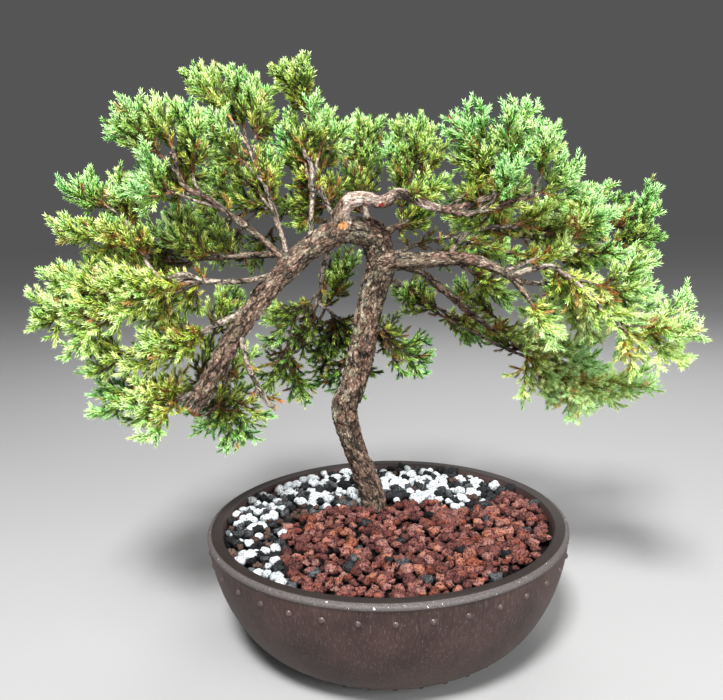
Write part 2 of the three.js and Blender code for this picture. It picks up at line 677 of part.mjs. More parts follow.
const { limbs, sprays } = grow();
const bonsai = new THREE.Group();
bonsai.name = 'procumbens_nana_juniper_bonsai';
bonsai.add(named('pot', pot(), COLOURS.pot));
const cells = honeycomb();
const redCells = cells.filter(({ corners }) => isRed(...mean(corners.map(({ place }) => place))));
const soilCells = cells.filter((cell) => !redCells.includes(cell));
bonsai.add(named('soil', soil(soilCells), COLOURS.soil));
const redSlab = stoneSlab(redCells, RED_FLOOR + GAP, RED_LIFT, RED_MARGIN, RED_SEED);
bonsai.add(named('red_stones', redSlab, COLOURS.red));
bonsai.add(named('trunk_and_branches', wood(limbs, sprays), COLOURS.wood));
for (const spray of sprays) bonsai.add(named(spray.name, leafySpray(spray), COLOURS.foliage));

export default bonsai;
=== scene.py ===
# Looks of a procumbens nana juniper bonsai in a round drum pot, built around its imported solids
# Lengths are in millimetres in the frame's own axes, and are turned into metres where a mesh is made
import math

import bpy
import numpy as np
from mathutils import Matrix, Vector, kdtree, noise


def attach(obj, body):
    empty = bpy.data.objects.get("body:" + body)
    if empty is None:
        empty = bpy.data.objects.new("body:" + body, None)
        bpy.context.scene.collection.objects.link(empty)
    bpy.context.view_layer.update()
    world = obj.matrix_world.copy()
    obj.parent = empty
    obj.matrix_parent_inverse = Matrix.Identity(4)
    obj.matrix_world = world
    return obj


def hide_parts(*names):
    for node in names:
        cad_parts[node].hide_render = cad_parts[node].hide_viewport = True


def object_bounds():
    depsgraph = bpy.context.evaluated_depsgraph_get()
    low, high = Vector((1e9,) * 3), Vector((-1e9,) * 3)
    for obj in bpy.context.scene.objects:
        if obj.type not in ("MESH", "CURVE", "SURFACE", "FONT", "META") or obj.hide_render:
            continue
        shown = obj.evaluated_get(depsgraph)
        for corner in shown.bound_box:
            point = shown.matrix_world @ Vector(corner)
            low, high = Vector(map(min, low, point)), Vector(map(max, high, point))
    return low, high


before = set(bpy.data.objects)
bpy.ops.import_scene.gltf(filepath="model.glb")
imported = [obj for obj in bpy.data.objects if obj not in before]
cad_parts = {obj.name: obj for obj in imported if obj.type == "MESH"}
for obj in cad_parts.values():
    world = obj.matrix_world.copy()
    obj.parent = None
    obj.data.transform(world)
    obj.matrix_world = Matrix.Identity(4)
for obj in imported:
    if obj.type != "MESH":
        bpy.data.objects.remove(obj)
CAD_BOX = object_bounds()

MM = 0.001

# Camera fitted to the photograph: place in metres, pitch below the horizon, roll, and focal length in pixels
CAMERA_PLACE = (-0.01466, -0.50475, 0.29211)
CAMERA_PITCH = 9.85
CAMERA_ROLL = -1.67
FOCAL_PIXELS = 740
IMAGE_WIDTH = 723
SENSOR = 36

# Pot, as [radius, height] pairs turned about z
FLOOR = 8
POT_STEPS = 168
FOOT = [[0, 1.2], [66, 1.2], [68, 0], [75, 0]]
OUTER_WALL = [[76, 0], [90, 6.5], [104.5, 19], [116, 38], [122.4, 56], [125.4, 70], [126.3, 78.6]]
LIP = [[126.8, 79.3], [126.95, 80.6], [126.4, 81.6], [124.9, 82.5], [122.8, 83], [120, 82.8], [117.4, 82.5]]
INNER_WALL = [[116.4, 81.6], [113.4, 66], [99, 28], [76, FLOOR]]
STUDS_PER_ROW = 37
STUD_RADIUS = 2.1
STUD_RISE = 1.6
STUD_STEPS = 12
STUD_DOME = [(1.3, -0.5), (1.0, 0.2), (0.8, 0.6), (0.45, 0.9)]
STUD_ROWS = [{"height": 70.5, "radius": 125.2, "lean": 0.14}, {"height": 10, "radius": 93.6, "lean": 0.95}]

# Soil and the red stones laid on its front half
SOIL_EDGE_HEIGHT = 77
SOIL_RISE = 4.5
SOIL_RISE_WIDTH = 55
BED_RADIUS = 112.8
BED_DEPTH = 4.2
BED_UNDERSIDE = 60
BED_BUMPS = 1.2
BED_RINGS = 22
BED_STEPS = 96
TRUNK_CLEARANCE = 12.4
RED_PLAN = [[-75, -140], [140, -140], [140, 53], [99, 53], [80, 33], [68, 11], [53, 9], [34, 30],
            [8, 23], [-14, 24], [-35, 21], [-58, 14], [-70, -12], [-75, -36], [-68, -59], [-58, -97]]

# Growth of the sprays, the same rule and sizes as the solids follow
TRUNK_X = -9
TRUNK_Y = 20
CORE_RADIUS = 1.25
BUD_LENGTH = 6
LEAF_GAP = 0.6
GAP = 0.3
SPRAY_LENGTH = 46
SPRAY_STEPS = 4
SHOOT_REACH = 3.9
AXIS_REACH = 2.6
TWIG_RADIUS = 1.35
WAY_LENGTH = 54
LOWEST_TWIG = 0.45
SHORTEST_SPRAY = 24
WAY_STEPS = 24
WAY_BEND = 0.22
WAY_SAG = 0.1
SIDE_TILT = 0.85
SIDE_TURN = 0.25
SIDE_LIFT = 0.15
SIDE_STRETCH = 9
STALK_LENGTH = 6.5
GROWTH_SEED = 11
SIDE_SHOOTS = [(0, 2), (1, 2), (2, 1)]

TRUNK_ROUTE = [[TRUNK_X, TRUNK_Y, 58], [TRUNK_X, TRUNK_Y, 87], [-19, 21, 120], [-26, 20, 142],
               [-28, 20, 160], [-21, 18, 177], [-13, 16, 207], [-7, 14, 237], [0, 12, 261],
               [-3, 8, 282], [-10, 4, 291]]
TRUNK_RADII = [9.8, 9.8, 8.7, 9.3, 10, 9.9, 9.8, 9.6, 10.8, 10.4, 6]

# Branches: radius at both ends, route, and the tips their sprays reach, the leader's first
LIMBS = {
    "left_main": (10.4, 6.3, [[-3, 8, 282], [-23, 2, 287], [-41, -5, 279], [-65, -16, 260],
        [-93, -27, 227], [-126, -40, 175]], []),
    "top_branch": (6.6, 2.4, [[-28, 0, 286], [-26, -5, 297], [-20, -8, 305], [-11, -10, 307],
        [2, -12, 304], [13, -14, 309], [27, -18, 303], [43, -22, 298], [71, -30, 305]], [[83, -30, 362],
        [51, -14, 358]]),
    "top_fork": (2.8, 1.8, [[41, -22, 299], [56, -30, 295], [90, -38, 303]], [[100, -44, 344],
        [119, -42, 318], [80, -50, 325]]),
    "top_back": (3.6, 1.9, [[-1, 12, 281], [9, 22, 286], [23, 32, 293], [29, 42, 303]], [[33, 56, 365],
        [10, 50, 350]]),
    "right_main": (7, 2.1, [[-1, 10, 264], [28, -4, 265], [50, -12, 266], [66, -18, 263], [84, -28, 253],
        [93, -34, 240]], [[113, -26, 224]]),
    "right_high": (2.6, 1.7, [[46, -10, 267], [53, -4, 278], [66, 2, 285], [94, 12, 285], [123, 20, 277]],
        [[152, 32, 311], [200, 26, 303], [202, 18, 279]]),
    "right_mid": (2.3, 1.6, [[78, -24, 257], [95, -18, 262], [120, -8, 272]], [[158, 0, 263],
        [150, -6, 295]]),
    "right_low": (2.7, 1.7, [[81, -27, 255], [102, -40, 261], [109, -42, 259], [125, -46, 246],
        [139, -46, 230]], [[190, -50, 227], [165, -50, 248], [190, -44, 206]]),
    "right_drop": (2.4, 1.6, [[84, -28, 253], [105, -14, 248], [147, -6, 248]], [[176, -10, 204]]),
    "right_under": (4, 1.9, [[3, 16, 262], [25, 18, 258], [43, 24, 244], [73, 32, 218], [99, 34, 203],
        [129, 30, 187]], [[199, 16, 169], [150, 20, 150], [128, 26, 158], [152, 6, 194]]),
    "rise_top": (2.4, 1.6, [[-47, -8, 276], [-44, 2, 326], [-49, 6, 338], [-46, 10, 358]],
        [[-58, 12, 401], [-32, 14, 365]]),
    "rise_near": (2.8, 1.6, [[-26, 1, 287], [-36, 10, 307], [-41, 20, 323]], [[-26, 36, 358],
        [-58, 26, 348]]),
    "rise_crown": (2.8, 1.7, [[-61, -12, 266], [-68, -4, 293], [-76, 4, 317], [-86, 10, 342]],
        [[-118, 12, 401], [-93, 20, 395], [-73, 28, 385], [-112, -6, 360]]),
    "rise_left": (3.2, 1.7, [[-62, -13, 266], [-75, -20, 281], [-108, -28, 309], [-123, -30, 317],
        [-128, -28, 338]], [[-137, -28, 369], [-163, -34, 361], [-149, -38, 322], [-115, -22, 365]]),
    "reach_left": (3.2, 1.7, [[-52, -10, 273], [-88, 10, 271], [-127, 22, 270], [-156, 28, 277]],
        [[-188, 26, 297], [-150, 32, 301], [-178, 34, 272]]),
    "pale_left": (2.6, 1.6, [[-67, -17, 260], [-86, -30, 257], [-110, -40, 258], [-125, -44, 263],
        [-139, -46, 257], [-160, -46, 247], [-173, -46, 242]], [[-220, -46, 252], [-207, -38, 268],
        [-196, -52, 231]]),
    "pale_up": (1.8, 1.5, [[-136, -46, 258], [-148, -38, 271], [-148, -36, 276], [-164, -28, 300]],
        [[-192, -26, 319], [-168, -22, 314], [-204, -32, 291]]),
    "under_left": (3.2, 1.8, [[-83, -24, 240], [-118, -36, 224], [-145, -42, 211], [-158, -44, 214]],
        [[-190, -42, 217]]),
    "low_left": (2.6, 1.7, [[-118, -37, 188], [-135, -44, 183], [-149, -46, 187]], [[-187, -36, 191],
        [-157, -54, 173]]),
    "cut_twig": (2.6, 2.1, [[-93, -27, 227], [-89, -38, 207], [-78, -44, 183], [-70, -46, 176]], []),
    "hang_left": (2.2, 1.5, [[-99, -28, 217], [-107, -10, 194], [-107, -4, 184]], [[-123, 2, 151],
        [-97, 8, 138]]),
    "back_hang": (2.8, 1.6, [[-30, 6, 283], [-40, 26, 261], [-46, 42, 233], [-65, 46, 219],
        [-68, 50, 196]], [[-66, 54, 159], [-86, 56, 218]]),
    "back_fork": (1.8, 1.5, [[-46, 41, 234], [-29, 46, 219], [-24, 50, 210]], [[-35, 56, 158]]),
    "low_right_twig": (2, 1.5, [[-8, 15, 225], [2, 26, 211]], [[36, 38, 188]]),
    "back_crown": (3.2, 1.8, [[-5, 14, 276], [-10, 40, 307], [-14, 54, 328]], [[4, 68, 366]]),
    "back_right": (3.2, 1.8, [[3, 16, 264], [25, 50, 273], [57, 78, 279]], [[104, 106, 268]]),
    "back_left": (3.2, 1.8, [[-12, 12, 281], [-42, 48, 294], [-88, 78, 305]], [[-136, 98, 334],
        [-150, 92, 288]]),
    "back_low": (2.8, 1.7, [[0, 18, 257], [23, 56, 240], [44, 74, 226]], [[85, 88, 194]]),
}

# Plumes between the sprays, by the tips they reach
INNER_TIPS = {
    "rise_left": [[-153, 5, 322], [-136, 15, 334], [-124, 25, 316], [-172, -5, 301]],
    "reach_left": [[-119, 45, 290], [-143, 40, 300], [-167, 40, 267], [-143, -10, 289], [-188, -20, 271]],
    "rise_crown": [[-103, 30, 310], [-84, 35, 329], [-103, 20, 336], [-74, 20, 337], [-80, 26, 346]],
    "rise_top": [[-62, 30, 343], [-54, 25, 320], [-59, 18, 363]],
    "rise_near": [[-69, 40, 305], [-59, 30, 289], [-30, 25, 324]],
    "back_crown": [[-22, 50, 332], [-40, 45, 308], [-3, 60, 343]],
    "top_fork": [[48, -10, 331], [60, -20, 315], [94, -30, 313], [49, 4, 308], [46, 8, 294]],
    "top_back": [[39, 40, 314], [16, 50, 328], [37, 50, 298], [13, 50, 361], [18, 30, 282]],
    "right_high": [[119, 45, 295], [91, 35, 297], [140, 30, 285], [55, 10, 290], [128, 10, 303],
        [150, 5, 280]],
    "back_right": [[73, 85, 258], [115, 95, 258], [142, 90, 256], [89, 85, 223]],
    "right_mid": [[149, 20, 255], [123, -20, 273]],
    "right_low": [[143, -20, 237], [119, -10, 244], [138, -30, 220], [138, -40, 238], [156, -45, 220]],
    "right_drop": [[99, 10, 226], [133, 0, 218], [111, -20, 249], [145, -10, 206]],
    "right_under": [[58, 60, 242], [76, 50, 209], [134, 40, 197], [178, 25, 157], [161, 30, 158],
        [114, 5, 208], [133, 0, 202], [129, 20, 176], [168, 24, 173], [149, 18, 154], [165, 14, 158],
        [132, 26, 157], [14, 46, 240]],
    "back_low": [[37, 75, 238], [100, 80, 203], [35, 60, 231], [12, 50, 241]],
    "pale_left": [[-151, -25, 243], [-128, -20, 238], [-168, -30, 253], [-160, -30, 235],
        [-152, -22, 224], [-174, -30, 265], [-183, -25, 275], [-171, -58, 260], [-157, -60, 255],
        [-190, -56, 248], [-196, -52, 262], [-165, -60, 237], [-182, -56, 230]],
    "under_left": [[-152, -30, 217], [-127, -25, 222], [-148, -5, 229], [-153, -30, 206],
        [-151, -55, 221], [-135, -50, 219], [-122, -45, 229], [-166, -50, 206]],
    "low_left": [[-154, -30, 191], [-135, -30, 199], [-157, -58, 195], [-138, -55, 196],
        [-133, -50, 177]],
    "hang_left": [[-149, 0, 174], [-121, 10, 155]],
    "back_hang": [[-25, 45, 263], [-62, 60, 199], [-83, 50, 221], [-21, 45, 270], [-75, 58, 185],
        [-92, 54, 168]],
    "back_fork": [[-23, 60, 198], [-49, 60, 175], [-43, 58, 199], [-29, 52, 193], [-53, 56, 191]],
    "back_left": [[-129, 85, 261], [-100, 75, 257], [-168, 90, 282]],
    "low_right_twig": [[9, 45, 211], [2, 45, 200]],
    "left_main": [[-107, 15, 249], [-96, 22, 242], [-118, 5, 215], [-96, 25, 203], [-97, 10, 180]],
    "top_branch": [[47, -6, 315], [73, -22, 342]],
    "right_main": [[89, 0, 235]],
    "pale_up": [[-171, -48, 293], [-158, -50, 285], [-147, -44, 290]],
}
INNER_LENGTH = 40
INNER_PARTS = (0, 0.3, 0.6, 0.85)
INNER_HUE = -0.16
# Tone taken from every inner plume: painted shade inside the crown
INNER_TONE = -0.04

# Fine foliage: leaves in whorls of three along every shoot, shoots along every axis
WHORL_PITCH = 1.7
LEAF_LENGTH = 3.7
LEAF_WIDTH = 1.12
LEAF_DEPTH = 0.6
SHOOT_POINTS = 4
BRANCHLET_PITCH = 3.9
BRANCHLET_LENGTH = 18
BRANCHLET_TILT = 0.8
SHOOTLET_PITCH = 2.9
SHOOTLET_LENGTH = 9
SHOOTLET_TILT = 0.75
SHOOT_TURN = 2.4
SHOOT_OVERHANG = 3.5
ROUTE_STEPS = 32
MAIN_STEP = 4
STEM_TAPER = 0.55
STEM_POINT = 1.2
TIP_MARGIN = 3.9
BOX_MARGIN = 3.6
TUFT_PITCH = 7
TUFT_LENGTH = 11
TUFT_TILT = 1.1
TUFT_SHARE = 0.8
FOLIAGE_SEED = 90

# Colour of the leaves: tone goes from dark to light, hue from yellow to blue-green. The tone's rise out
# along a spray and along a shoot is partly fresh growth and partly painted shade inside the crown; a leaf's
# darker foot is painted shade and its lighter point a painted highlight
HUE_ACROSS = 0.0004
SPRAY_HUE = (0.04, 0.12)
SPRAY_TONE_SPREAD = 0.05
SHOOT_TONE_SPREAD = 0.12
SHOOT_HUE_SPREAD = 0.16
LEAF_TONE_SPREAD = 0.13
FRESH_AND_SHADE_TONE = 0.55
FRESH_HUE = 0.8
ALONG_TONE = 0.3
FOOT_TONE = -0.08
POINT_TONE = 0.2
STEM_TONE = 0.25

# Shoots by order: their tone, their thickness, and how far apart their whorls are
SPRAY_ORDERS = [(-0.1, 1.0, 1.3), (-0.04, 0.75, 1.15), (0.02, 0.6, 1.0)]
TUFT_ORDERS = [(0.0, 0.7, 1.15), (0.1, 0.6, 1.1)]

# Wood, and the heights of its bark
WOOD_STEP = 1.6
LUMP_HEIGHT = 0.9
PLATE_HEIGHT = 1.0
KNOB_HEIGHT = 0.95
BARK_SINK = 0.5
SWELL_HEIGHT = 0.45
WOBBLE = 0.7
VOXEL = 1.15
BARK_SEED = 5
SLIM_SHARE = 0.78
SLIM_SIDES = 6
HEAVY_SIDES = 20
SMALL_TWIG = 1.6
THIN_LIMB = 4.5
SCAR_PLACE = (-24.5, -7.4, 290)
SCAR_RADIUS = 3.1
RED_SPOT = (1.4, -16, 302.6)
RED_SPOT_RADIUS = 2.1
FUSED_LIMBS = ["trunk", "left_main", "top_branch", "right_main", "right_under", "rise_left", "reach_left",
               "top_back", "top_fork"]


def unit(vectors):
    """Vectors of length one, along the last axis."""
    return vectors / np.maximum(np.linalg.norm(vectors, axis=-1, keepdims=True), 1e-12)


def circle(steps):
    """Evenly spaced angles once round."""
    return 2 * math.pi * np.arange(steps) / steps


def draws(seed):
    """A repeatable stream of draws between 0 and 1."""
    state = seed
    while True:
        state = state * 16807 % 2147483647
        yield state / 2147483647


# Growth: limbs, twigs, spray axes and side shoots, as in the solids

UP = np.array([0.0, 0.0, 1.0])


def frames_along(route, across=None):
    """Directions along a route, and crosswise pairs carried along it without twist."""
    frames = []
    for i in range(len(route)):
        ahead = unit(route[min(i + 1, len(route) - 1)] - route[max(i - 1, 0)])
        if across is None:
            across = np.array([0.0, 1.0, 0.0]) if abs(ahead[0]) > 0.9 else np.array([1.0, 0.0, 0.0])
        across = unit(across - ahead * (across @ ahead))
        frames.append((ahead, across, np.cross(ahead, across)))
    return frames


def ring(centre, axes, radius, sides, turn):
    """A ring of corners round one point of a route."""
    angles = circle(sides) + turn
    return centre + radius * (np.outer(np.cos(angles), axes[1]) + np.outer(np.sin(angles), axes[2]))


def core_rings(axis):
    """The three-cornered rings of an axis, each turned half a step from the last."""
    frames = frames_along(axis)
    radii = [CORE_RADIUS * (1 - 0.35 * i / len(axis)) for i in range(len(axis))]
    return [ring(point, frames[i], radii[i], 3, i * math.pi / 3) for i, point in enumerate(axis)]


def facets_between(low, high):
    """The facets between two rings of three corners, the upper one turned half a step."""
    facets = []
    for k in range(3):
        after = (k + 1) % 3
        facets.append(np.array([low[k], low[after], high[k]]))
        facets.append(np.array([low[after], high[after], high[k]]))
    return facets


def length_of(route):
    """Length of a route."""
    return np.linalg.norm(np.diff(route, axis=0), axis=1).sum()


def point_along(route, distance):
    """The point a given distance along a route."""
    left = distance
    for i in range(len(route) - 1):
        step = np.linalg.norm(route[i + 1] - route[i])
        if left <= step or i + 2 == len(route):
            return route[i] + (route[i + 1] - route[i]) * (left / step)
        left -= step
    return route[0]


class Grown:
    """Straight stretches of everything grown so far, with the room each one needs."""

    def __init__(self):
        self.starts, self.ends, self.reaches, self.owners = [], [], [], []

    def record(self, route, reaches, owner):
        """Adds a route's stretches."""
        self.starts.extend(route[:-1])
        self.ends.extend(route[1:])
        self.reaches.extend(np.broadcast_to(reaches, len(route))[:-1])
        self.owners.extend([owner] * (len(route) - 1))

    def room(self, route, skipped):
        """Room between a route with needles and all stretches, apart from one owner's."""
        others = [owner is None or owner != skipped for owner in self.owners]
        starts, ends, reaches = (np.array(rows)[others] for rows in (self.starts, self.ends, self.reaches))
        nearest = min((stretch_distances(p, q, starts, ends) - reaches).min()
                      for p, q in zip(route[:-1], route[1:]))
        return nearest - SHOOT_REACH - GAP


def stretch_distances(p, q, starts, ends):
    """Shortest distances between the stretch p to q and many others."""
    u = q - p
    v = ends - starts
    w = p - starts
    uu = u @ u
    uv = v @ u
    vv = (v * v).sum(1)
    vw = (v * w).sum(1)
    uw = w @ u
    spread = uu * vv - uv * uv
    apart = spread > 1e-9
    along = np.where(apart, np.clip((uv * vw - vv * uw) / np.where(apart, spread, 1), 0, 1), 0)
    beside = np.clip((uv * along + vw) / vv, 0, 1)
    along = np.clip((uv * beside - uw) / uu, 0, 1)
    return np.linalg.norm(p + along[:, None] * u - starts - beside[:, None] * v, axis=1)


def way_to_tip(route, tip, leading):
    """A curved way from a branch to a spray's tip: along the branch, sagging, then up at the end."""
    total = length_of(route)
    at = total
    while (not leading and at > LOWEST_TWIG * total
           and np.linalg.norm(point_along(route, at) - tip) < WAY_LENGTH):
        at -= 2
    start = point_along(route, at)
    along = unit(start - point_along(route, at - 4))
    straight = tip - start
    reach = np.linalg.norm(straight)
    bend = (start + tip) / 2 + (along - unit(straight)) * WAY_BEND * reach - UP * WAY_SAG * reach
    t = np.linspace(0, 1, WAY_STEPS + 1)[:, None]
    return start * (1 - t) ** 2 + bend * 2 * t * (1 - t) + tip * t * t


def leaf_start(way, grown, skipped):
    """How far along a way its leaves begin: as low as its length and the wood around it allow."""
    total = length_of(way)
    lowest = max(total - SPRAY_LENGTH, 0)
    start = max(total - SHORTEST_SPRAY, 0)
    while start > lowest:
        if grown.room([point_along(way, start - 1), point_along(way, start)], skipped) < 0:
            break
        start -= 1
    return max(start, lowest)


def side_shoot(name, axis, rings, step, leafy_steps, grown, stretch):
    """A side shoot out of the facet of an axis that has the most room before it."""
    ahead = unit(axis[step + 1] - axis[step])
    best_room, best_route = -math.inf, None
    for corners in facets_between(rings[step], rings[step + 1]):
        outward = unit(np.cross(corners[1] - corners[0], corners[2] - corners[0]))
        heading = unit(ahead * math.cos(SIDE_TILT) + outward * math.sin(SIDE_TILT))
        route = [corners.mean(0)]
        route.append(route[0] + heading * STALK_LENGTH)
        for _ in range(leafy_steps):
            heading = unit(heading + ahead * SIDE_TURN + UP * SIDE_LIFT)
            route.append(route[-1] + heading * stretch)
        route.append(route[-1] + heading * BUD_LENGTH)
        room = grown.room(route[1:], name)
        if room > best_room:
            best_room, best_route = room, np.array(route)
    return best_room, best_route


def grow():
    """Every limb's route and radii, and every spray's twig, axis and side shoots."""
    draw = draws(GROWTH_SEED)
    grown = Grown()
    limbs = {"trunk": (np.array(TRUNK_ROUTE, float), np.array(TRUNK_RADII))}
    for name, (thick, thin, route, _) in LIMBS.items():
        limbs[name] = (np.array(route, float), np.linspace(thick, thin, len(route)))
    for name, (route, radii) in limbs.items():
        grown.record(route, radii, name)
    sprays = []
    for limb, (_, _, _, tips) in LIMBS.items():
        route = limbs[limb][0]
        for number in range(len(tips), 0, -1):
            name = f"spray_{limb}_{number}"
            tip = np.array(tips[number - 1], float)
            leading = number == 1
            way = way_to_tip(route, tip, leading)
            start = leaf_start(way, grown, limb if leading else None)
            leafy = length_of(way) - BUD_LENGTH - start - LEAF_GAP
            axis = [point_along(way, start + LEAF_GAP + leafy * i / SPRAY_STEPS)
                    for i in range(SPRAY_STEPS + 1)]
            if start > 0:
                grown.record([way[0], point_along(way, start)], TWIG_RADIUS, name)
            grown.record([*axis, tip], AXIS_REACH, name)
            sprays.append({"name": name, "limb": limb, "leading": leading, "way": way, "start": start,
                           "axis": np.array(axis), "tip": tip, "sides": []})
    for spray in sprays:
        rings = core_rings(spray["axis"])
        for step, leafy_steps in SIDE_SHOOTS:
            stretch = SIDE_STRETCH * (0.85 + 0.3 * next(draw))
            room, route = side_shoot(spray["name"], spray["axis"], rings, step, leafy_steps, grown, stretch)
            if room >= 0:
                spray["sides"].append(route)
                grown.record(route[1:], SHOOT_REACH, None)
    return limbs, sprays


# Meshes and materials

def placed(name, data):
    """A new object in the scene."""
    thing = bpy.data.objects.new(name, data)
    bpy.context.scene.collection.objects.link(thing)
    return thing


def set_points(mesh, points):
    """Moves a mesh's points to places in millimetres."""
    mesh.vertices.foreach_set("co", (points * MM).astype(np.float32).ravel())


def make_piece(name, points, faces, material, smooth=True, values=None):
    """A mesh object from points in millimetres and an array of faces, with values kept at its points."""
    mesh = bpy.data.meshes.new(name)
    mesh.vertices.add(len(points))
    set_points(mesh, points)
    mesh.loops.add(faces.size)
    mesh.loops.foreach_set("vertex_index", faces.astype(np.int32).ravel())
    mesh.polygons.add(len(faces))
    mesh.polygons.foreach_set("loop_start", np.arange(len(faces), dtype=np.int32) * faces.shape[1])
    mesh.polygons.foreach_set("use_smooth", np.full(len(faces), smooth))
    for key, value in (values or {}).items():
        keep_values(mesh, key, value)
    mesh.update(calc_edges=True)
    mesh.materials.append(material)
    return placed(name, mesh)


def keep_values(mesh, key, value):
    """Keeps a number or a vector at each point of a mesh."""
    kind, field = ("FLOAT_VECTOR", "vector") if value.ndim == 2 else ("FLOAT", "value")
    attribute = mesh.attributes.new(key, kind, "POINT")
    attribute.data.foreach_set(field, value.astype(np.float32).ravel())


def settle(piece, slot, *nodes):
    """The piece rides on the part's body and stands for some nodes, which it hides; the slot is not used."""
    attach(piece, "root")
    if nodes:
        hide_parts(*nodes)


def joined(parts):
    """Points, faces and any values of several meshes as one."""
    points, faces, *values = zip(*parts)
    starts = np.cumsum([0, *(len(part) for part in points[:-1])])
    faces = [part + start for part, start in zip(faces, starts)]
    return [np.concatenate(rows) for rows in (points, faces, *values)]


def rings_round(radii, heights, steps):
    """Points of rings round the z axis, one ring for each radius."""
    angles = circle(steps)
    return np.column_stack([np.outer(radii, np.cos(angles)).ravel(), np.outer(radii, np.sin(angles)).ravel(),
                            np.repeat(heights, steps)])


def band_faces(rows, around):
    """Triangles between stacked rings of points."""
    k = np.arange(around)
    below = np.arange(rows - 1)[:, None] * around
    a, b = (below + k).ravel(), (below + (k + 1) % around).ravel()
    return np.stack([a, b, b + around, a, b + around, a + around], 1).reshape(-1, 3)


def fan_faces(first, around, point):
    """Triangles from a ring, given by its first point, to a single point."""
    k = np.arange(around)
    return np.column_stack([first + k, first + (k + 1) % around, np.full(around, point)])


def closed_faces(rows, around):
    """Triangles of stacked rings closed by two points that follow them: the lower, then the upper one."""
    count = rows * around
    return np.vstack([band_faces(rows, around), fan_faces(0, around, count)[:, ::-1],
                      fan_faces(count - around, around, count + 1)])


def srgb(text):
    """A linear colour with alpha from a six-digit sRGB one."""
    channels = [int(text[i:i + 2], 16) / 255 for i in (1, 3, 5)]
    return (*(c / 12.92 if c < 0.04045 else ((c + 0.055) / 1.055) ** 2.4 for c in channels), 1)


class Graph:
    """The shader nodes of a material or of the sky."""

    def __init__(self, owner):
        owner.use_nodes = True
        self.owner = owner
        self.tree = owner.node_tree

    def set(self, node, key, value):
        """Sets an input to a value or a six-digit colour, or links it to another node's socket."""
        if isinstance(value, bpy.types.NodeSocket):
            self.tree.links.new(value, node.inputs[key])
        else:
            node.inputs[key].default_value = srgb(value) if isinstance(value, str) else value

    def add(self, kind, inputs, **settings):
        """Adds a node, sets its properties, and sets or links its inputs."""
        node = self.tree.nodes.new("ShaderNode" + kind)
        for key, value in settings.items():
            setattr(node, key, value)
        for key, value in inputs.items():
            self.set(node, key, value)
        return node

    def vector(self, operation, first, second):
        """Two vectors joined by one operation."""
        return self.add("VectorMath", {0: first, 1: second}, operation=operation).outputs["Vector"]

    def place(self, scale=(1, 1, 1)):
        """Coordinates in millimetres of the frame, scaled."""
        metres = self.add("TexCoord", {}).outputs["Object"]
        return self.vector("MULTIPLY", metres, [s / MM for s in scale])

    def parts(self, vector):
        """The three numbers of a vector."""
        return self.add("SeparateXYZ", {0: vector}).outputs

    def kept(self, key):
        """A vector kept at the mesh's points."""
        return self.add("Attribute", {}, attribute_name=key).outputs["Vector"]

    def noise(self, place, scale, detail=3, roughness=0.55):
        """Noise between 0 and 1, features about one over scale in size."""
        return self.add("TexNoise", {"Vector": place, "Scale": scale, "Detail": detail,
                                     "Roughness": roughness}).outputs["Fac"]

    def cells(self, place, scale, output, feature="F1"):
        """Cells about one over scale in size: a random colour, or the distance to a middle or an edge."""
        return self.add("TexVoronoi", {"Vector": place, "Scale": scale}, feature=feature).outputs[output]

    def edges(self, place, scale):
        """Distance to the edges of cells."""
        return self.cells(place, scale, "Distance", "DISTANCE_TO_EDGE")

    def ramp(self, factor, *stops):
        """A colour ramp from (position, colour) stops."""
        node = self.add("ValToRGB", {"Fac": factor})
        elements = node.color_ramp.elements
        while len(elements) < len(stops):
            elements.new(0.5)
        for element, (position, colour) in zip(elements, stops):
            element.position = position
            element.color = srgb(colour)
        return node.outputs["Color"]

    def mix(self, factor, first, second):
        """Two colours mixed by a factor."""
        return self.add("Mix", {0: factor, 6: first, 7: second}, data_type="RGBA").outputs[2]

    def layers(self, colour, *layers):
        """A colour with others laid over it, each by its own amount."""
        for amount, over in layers:
            colour = self.mix(amount, colour, over)
        return colour

    def math(self, operation, first, second):
        """Two numbers or sockets joined by one operation."""
        return self.add("Math", {0: first, 1: second}, operation=operation).outputs["Value"]

    def times(self, first, second):
        """Two values multiplied."""
        return self.math("MULTIPLY", first, second)

    def plus(self, first, second):
        """Two values added."""
        return self.math("ADD", first, second)

    def less(self, first, second):
        """The second value taken from the first."""
        return self.math("SUBTRACT", first, second)

    def between(self, value, low, high, least=0.0, most=1.0):
        """How far a value is from low to high, kept between the least and the most."""
        return self.add("MapRange", {"Value": value, "From Min": low, "From Max": high, "To Min": least,
                                     "To Max": most}).outputs["Result"]

    def bump(self, height, distance, strength):
        """A bump of a given height in millimetres."""
        return self.add("Bump", {"Height": height, "Distance": distance * MM,
                                 "Strength": strength}).outputs["Normal"]

    def finish(self, colour, roughness, specular, normal=None):
        """Gives the shader its look. The specular level goes straight on the shader's own socket."""
        shader = self.tree.nodes["Principled BSDF"]
        self.set(shader, "Base Color", colour)
        self.set(shader, "Roughness", roughness)
        shader.inputs["Specular IOR Level"].default_value = specular
        if normal is not None:
            self.set(shader, "Normal", normal)
        return self.owner


def material_graph(name):
    """The nodes of a new material."""
    return Graph(bpy.data.materials.new(name))


def foliage_material():
    """Awl leaves: yellowish where old and darker there, partly by painted shade, bright green ahead,
    blue-green at the fresh tips.
    """
    g = material_graph("juniper_leaf")
    tone, hue, dry = g.parts(g.kept("growth"))
    tone = g.plus(tone, g.times(g.less(g.noise(g.place(), 0.1, 2), 0.5), 0.45))
    yellow = g.ramp(tone, (0.0, "#141b06"), (0.3, "#4f681a"), (0.58, "#b6cc40"), (0.9, "#f4f7a6"))
    blue = g.ramp(tone, (0.0, "#081a0a"), (0.3, "#296428"), (0.58, "#74c65a"), (0.9, "#ccf5b2"))
    brown = g.ramp(tone, (0.0, "#4a2c18"), (0.5, "#a0632f"), (1.0, "#d9a468"))
    return g.finish(g.mix(dry, g.mix(hue, yellow, blue), brown), 0.5, 0.3)


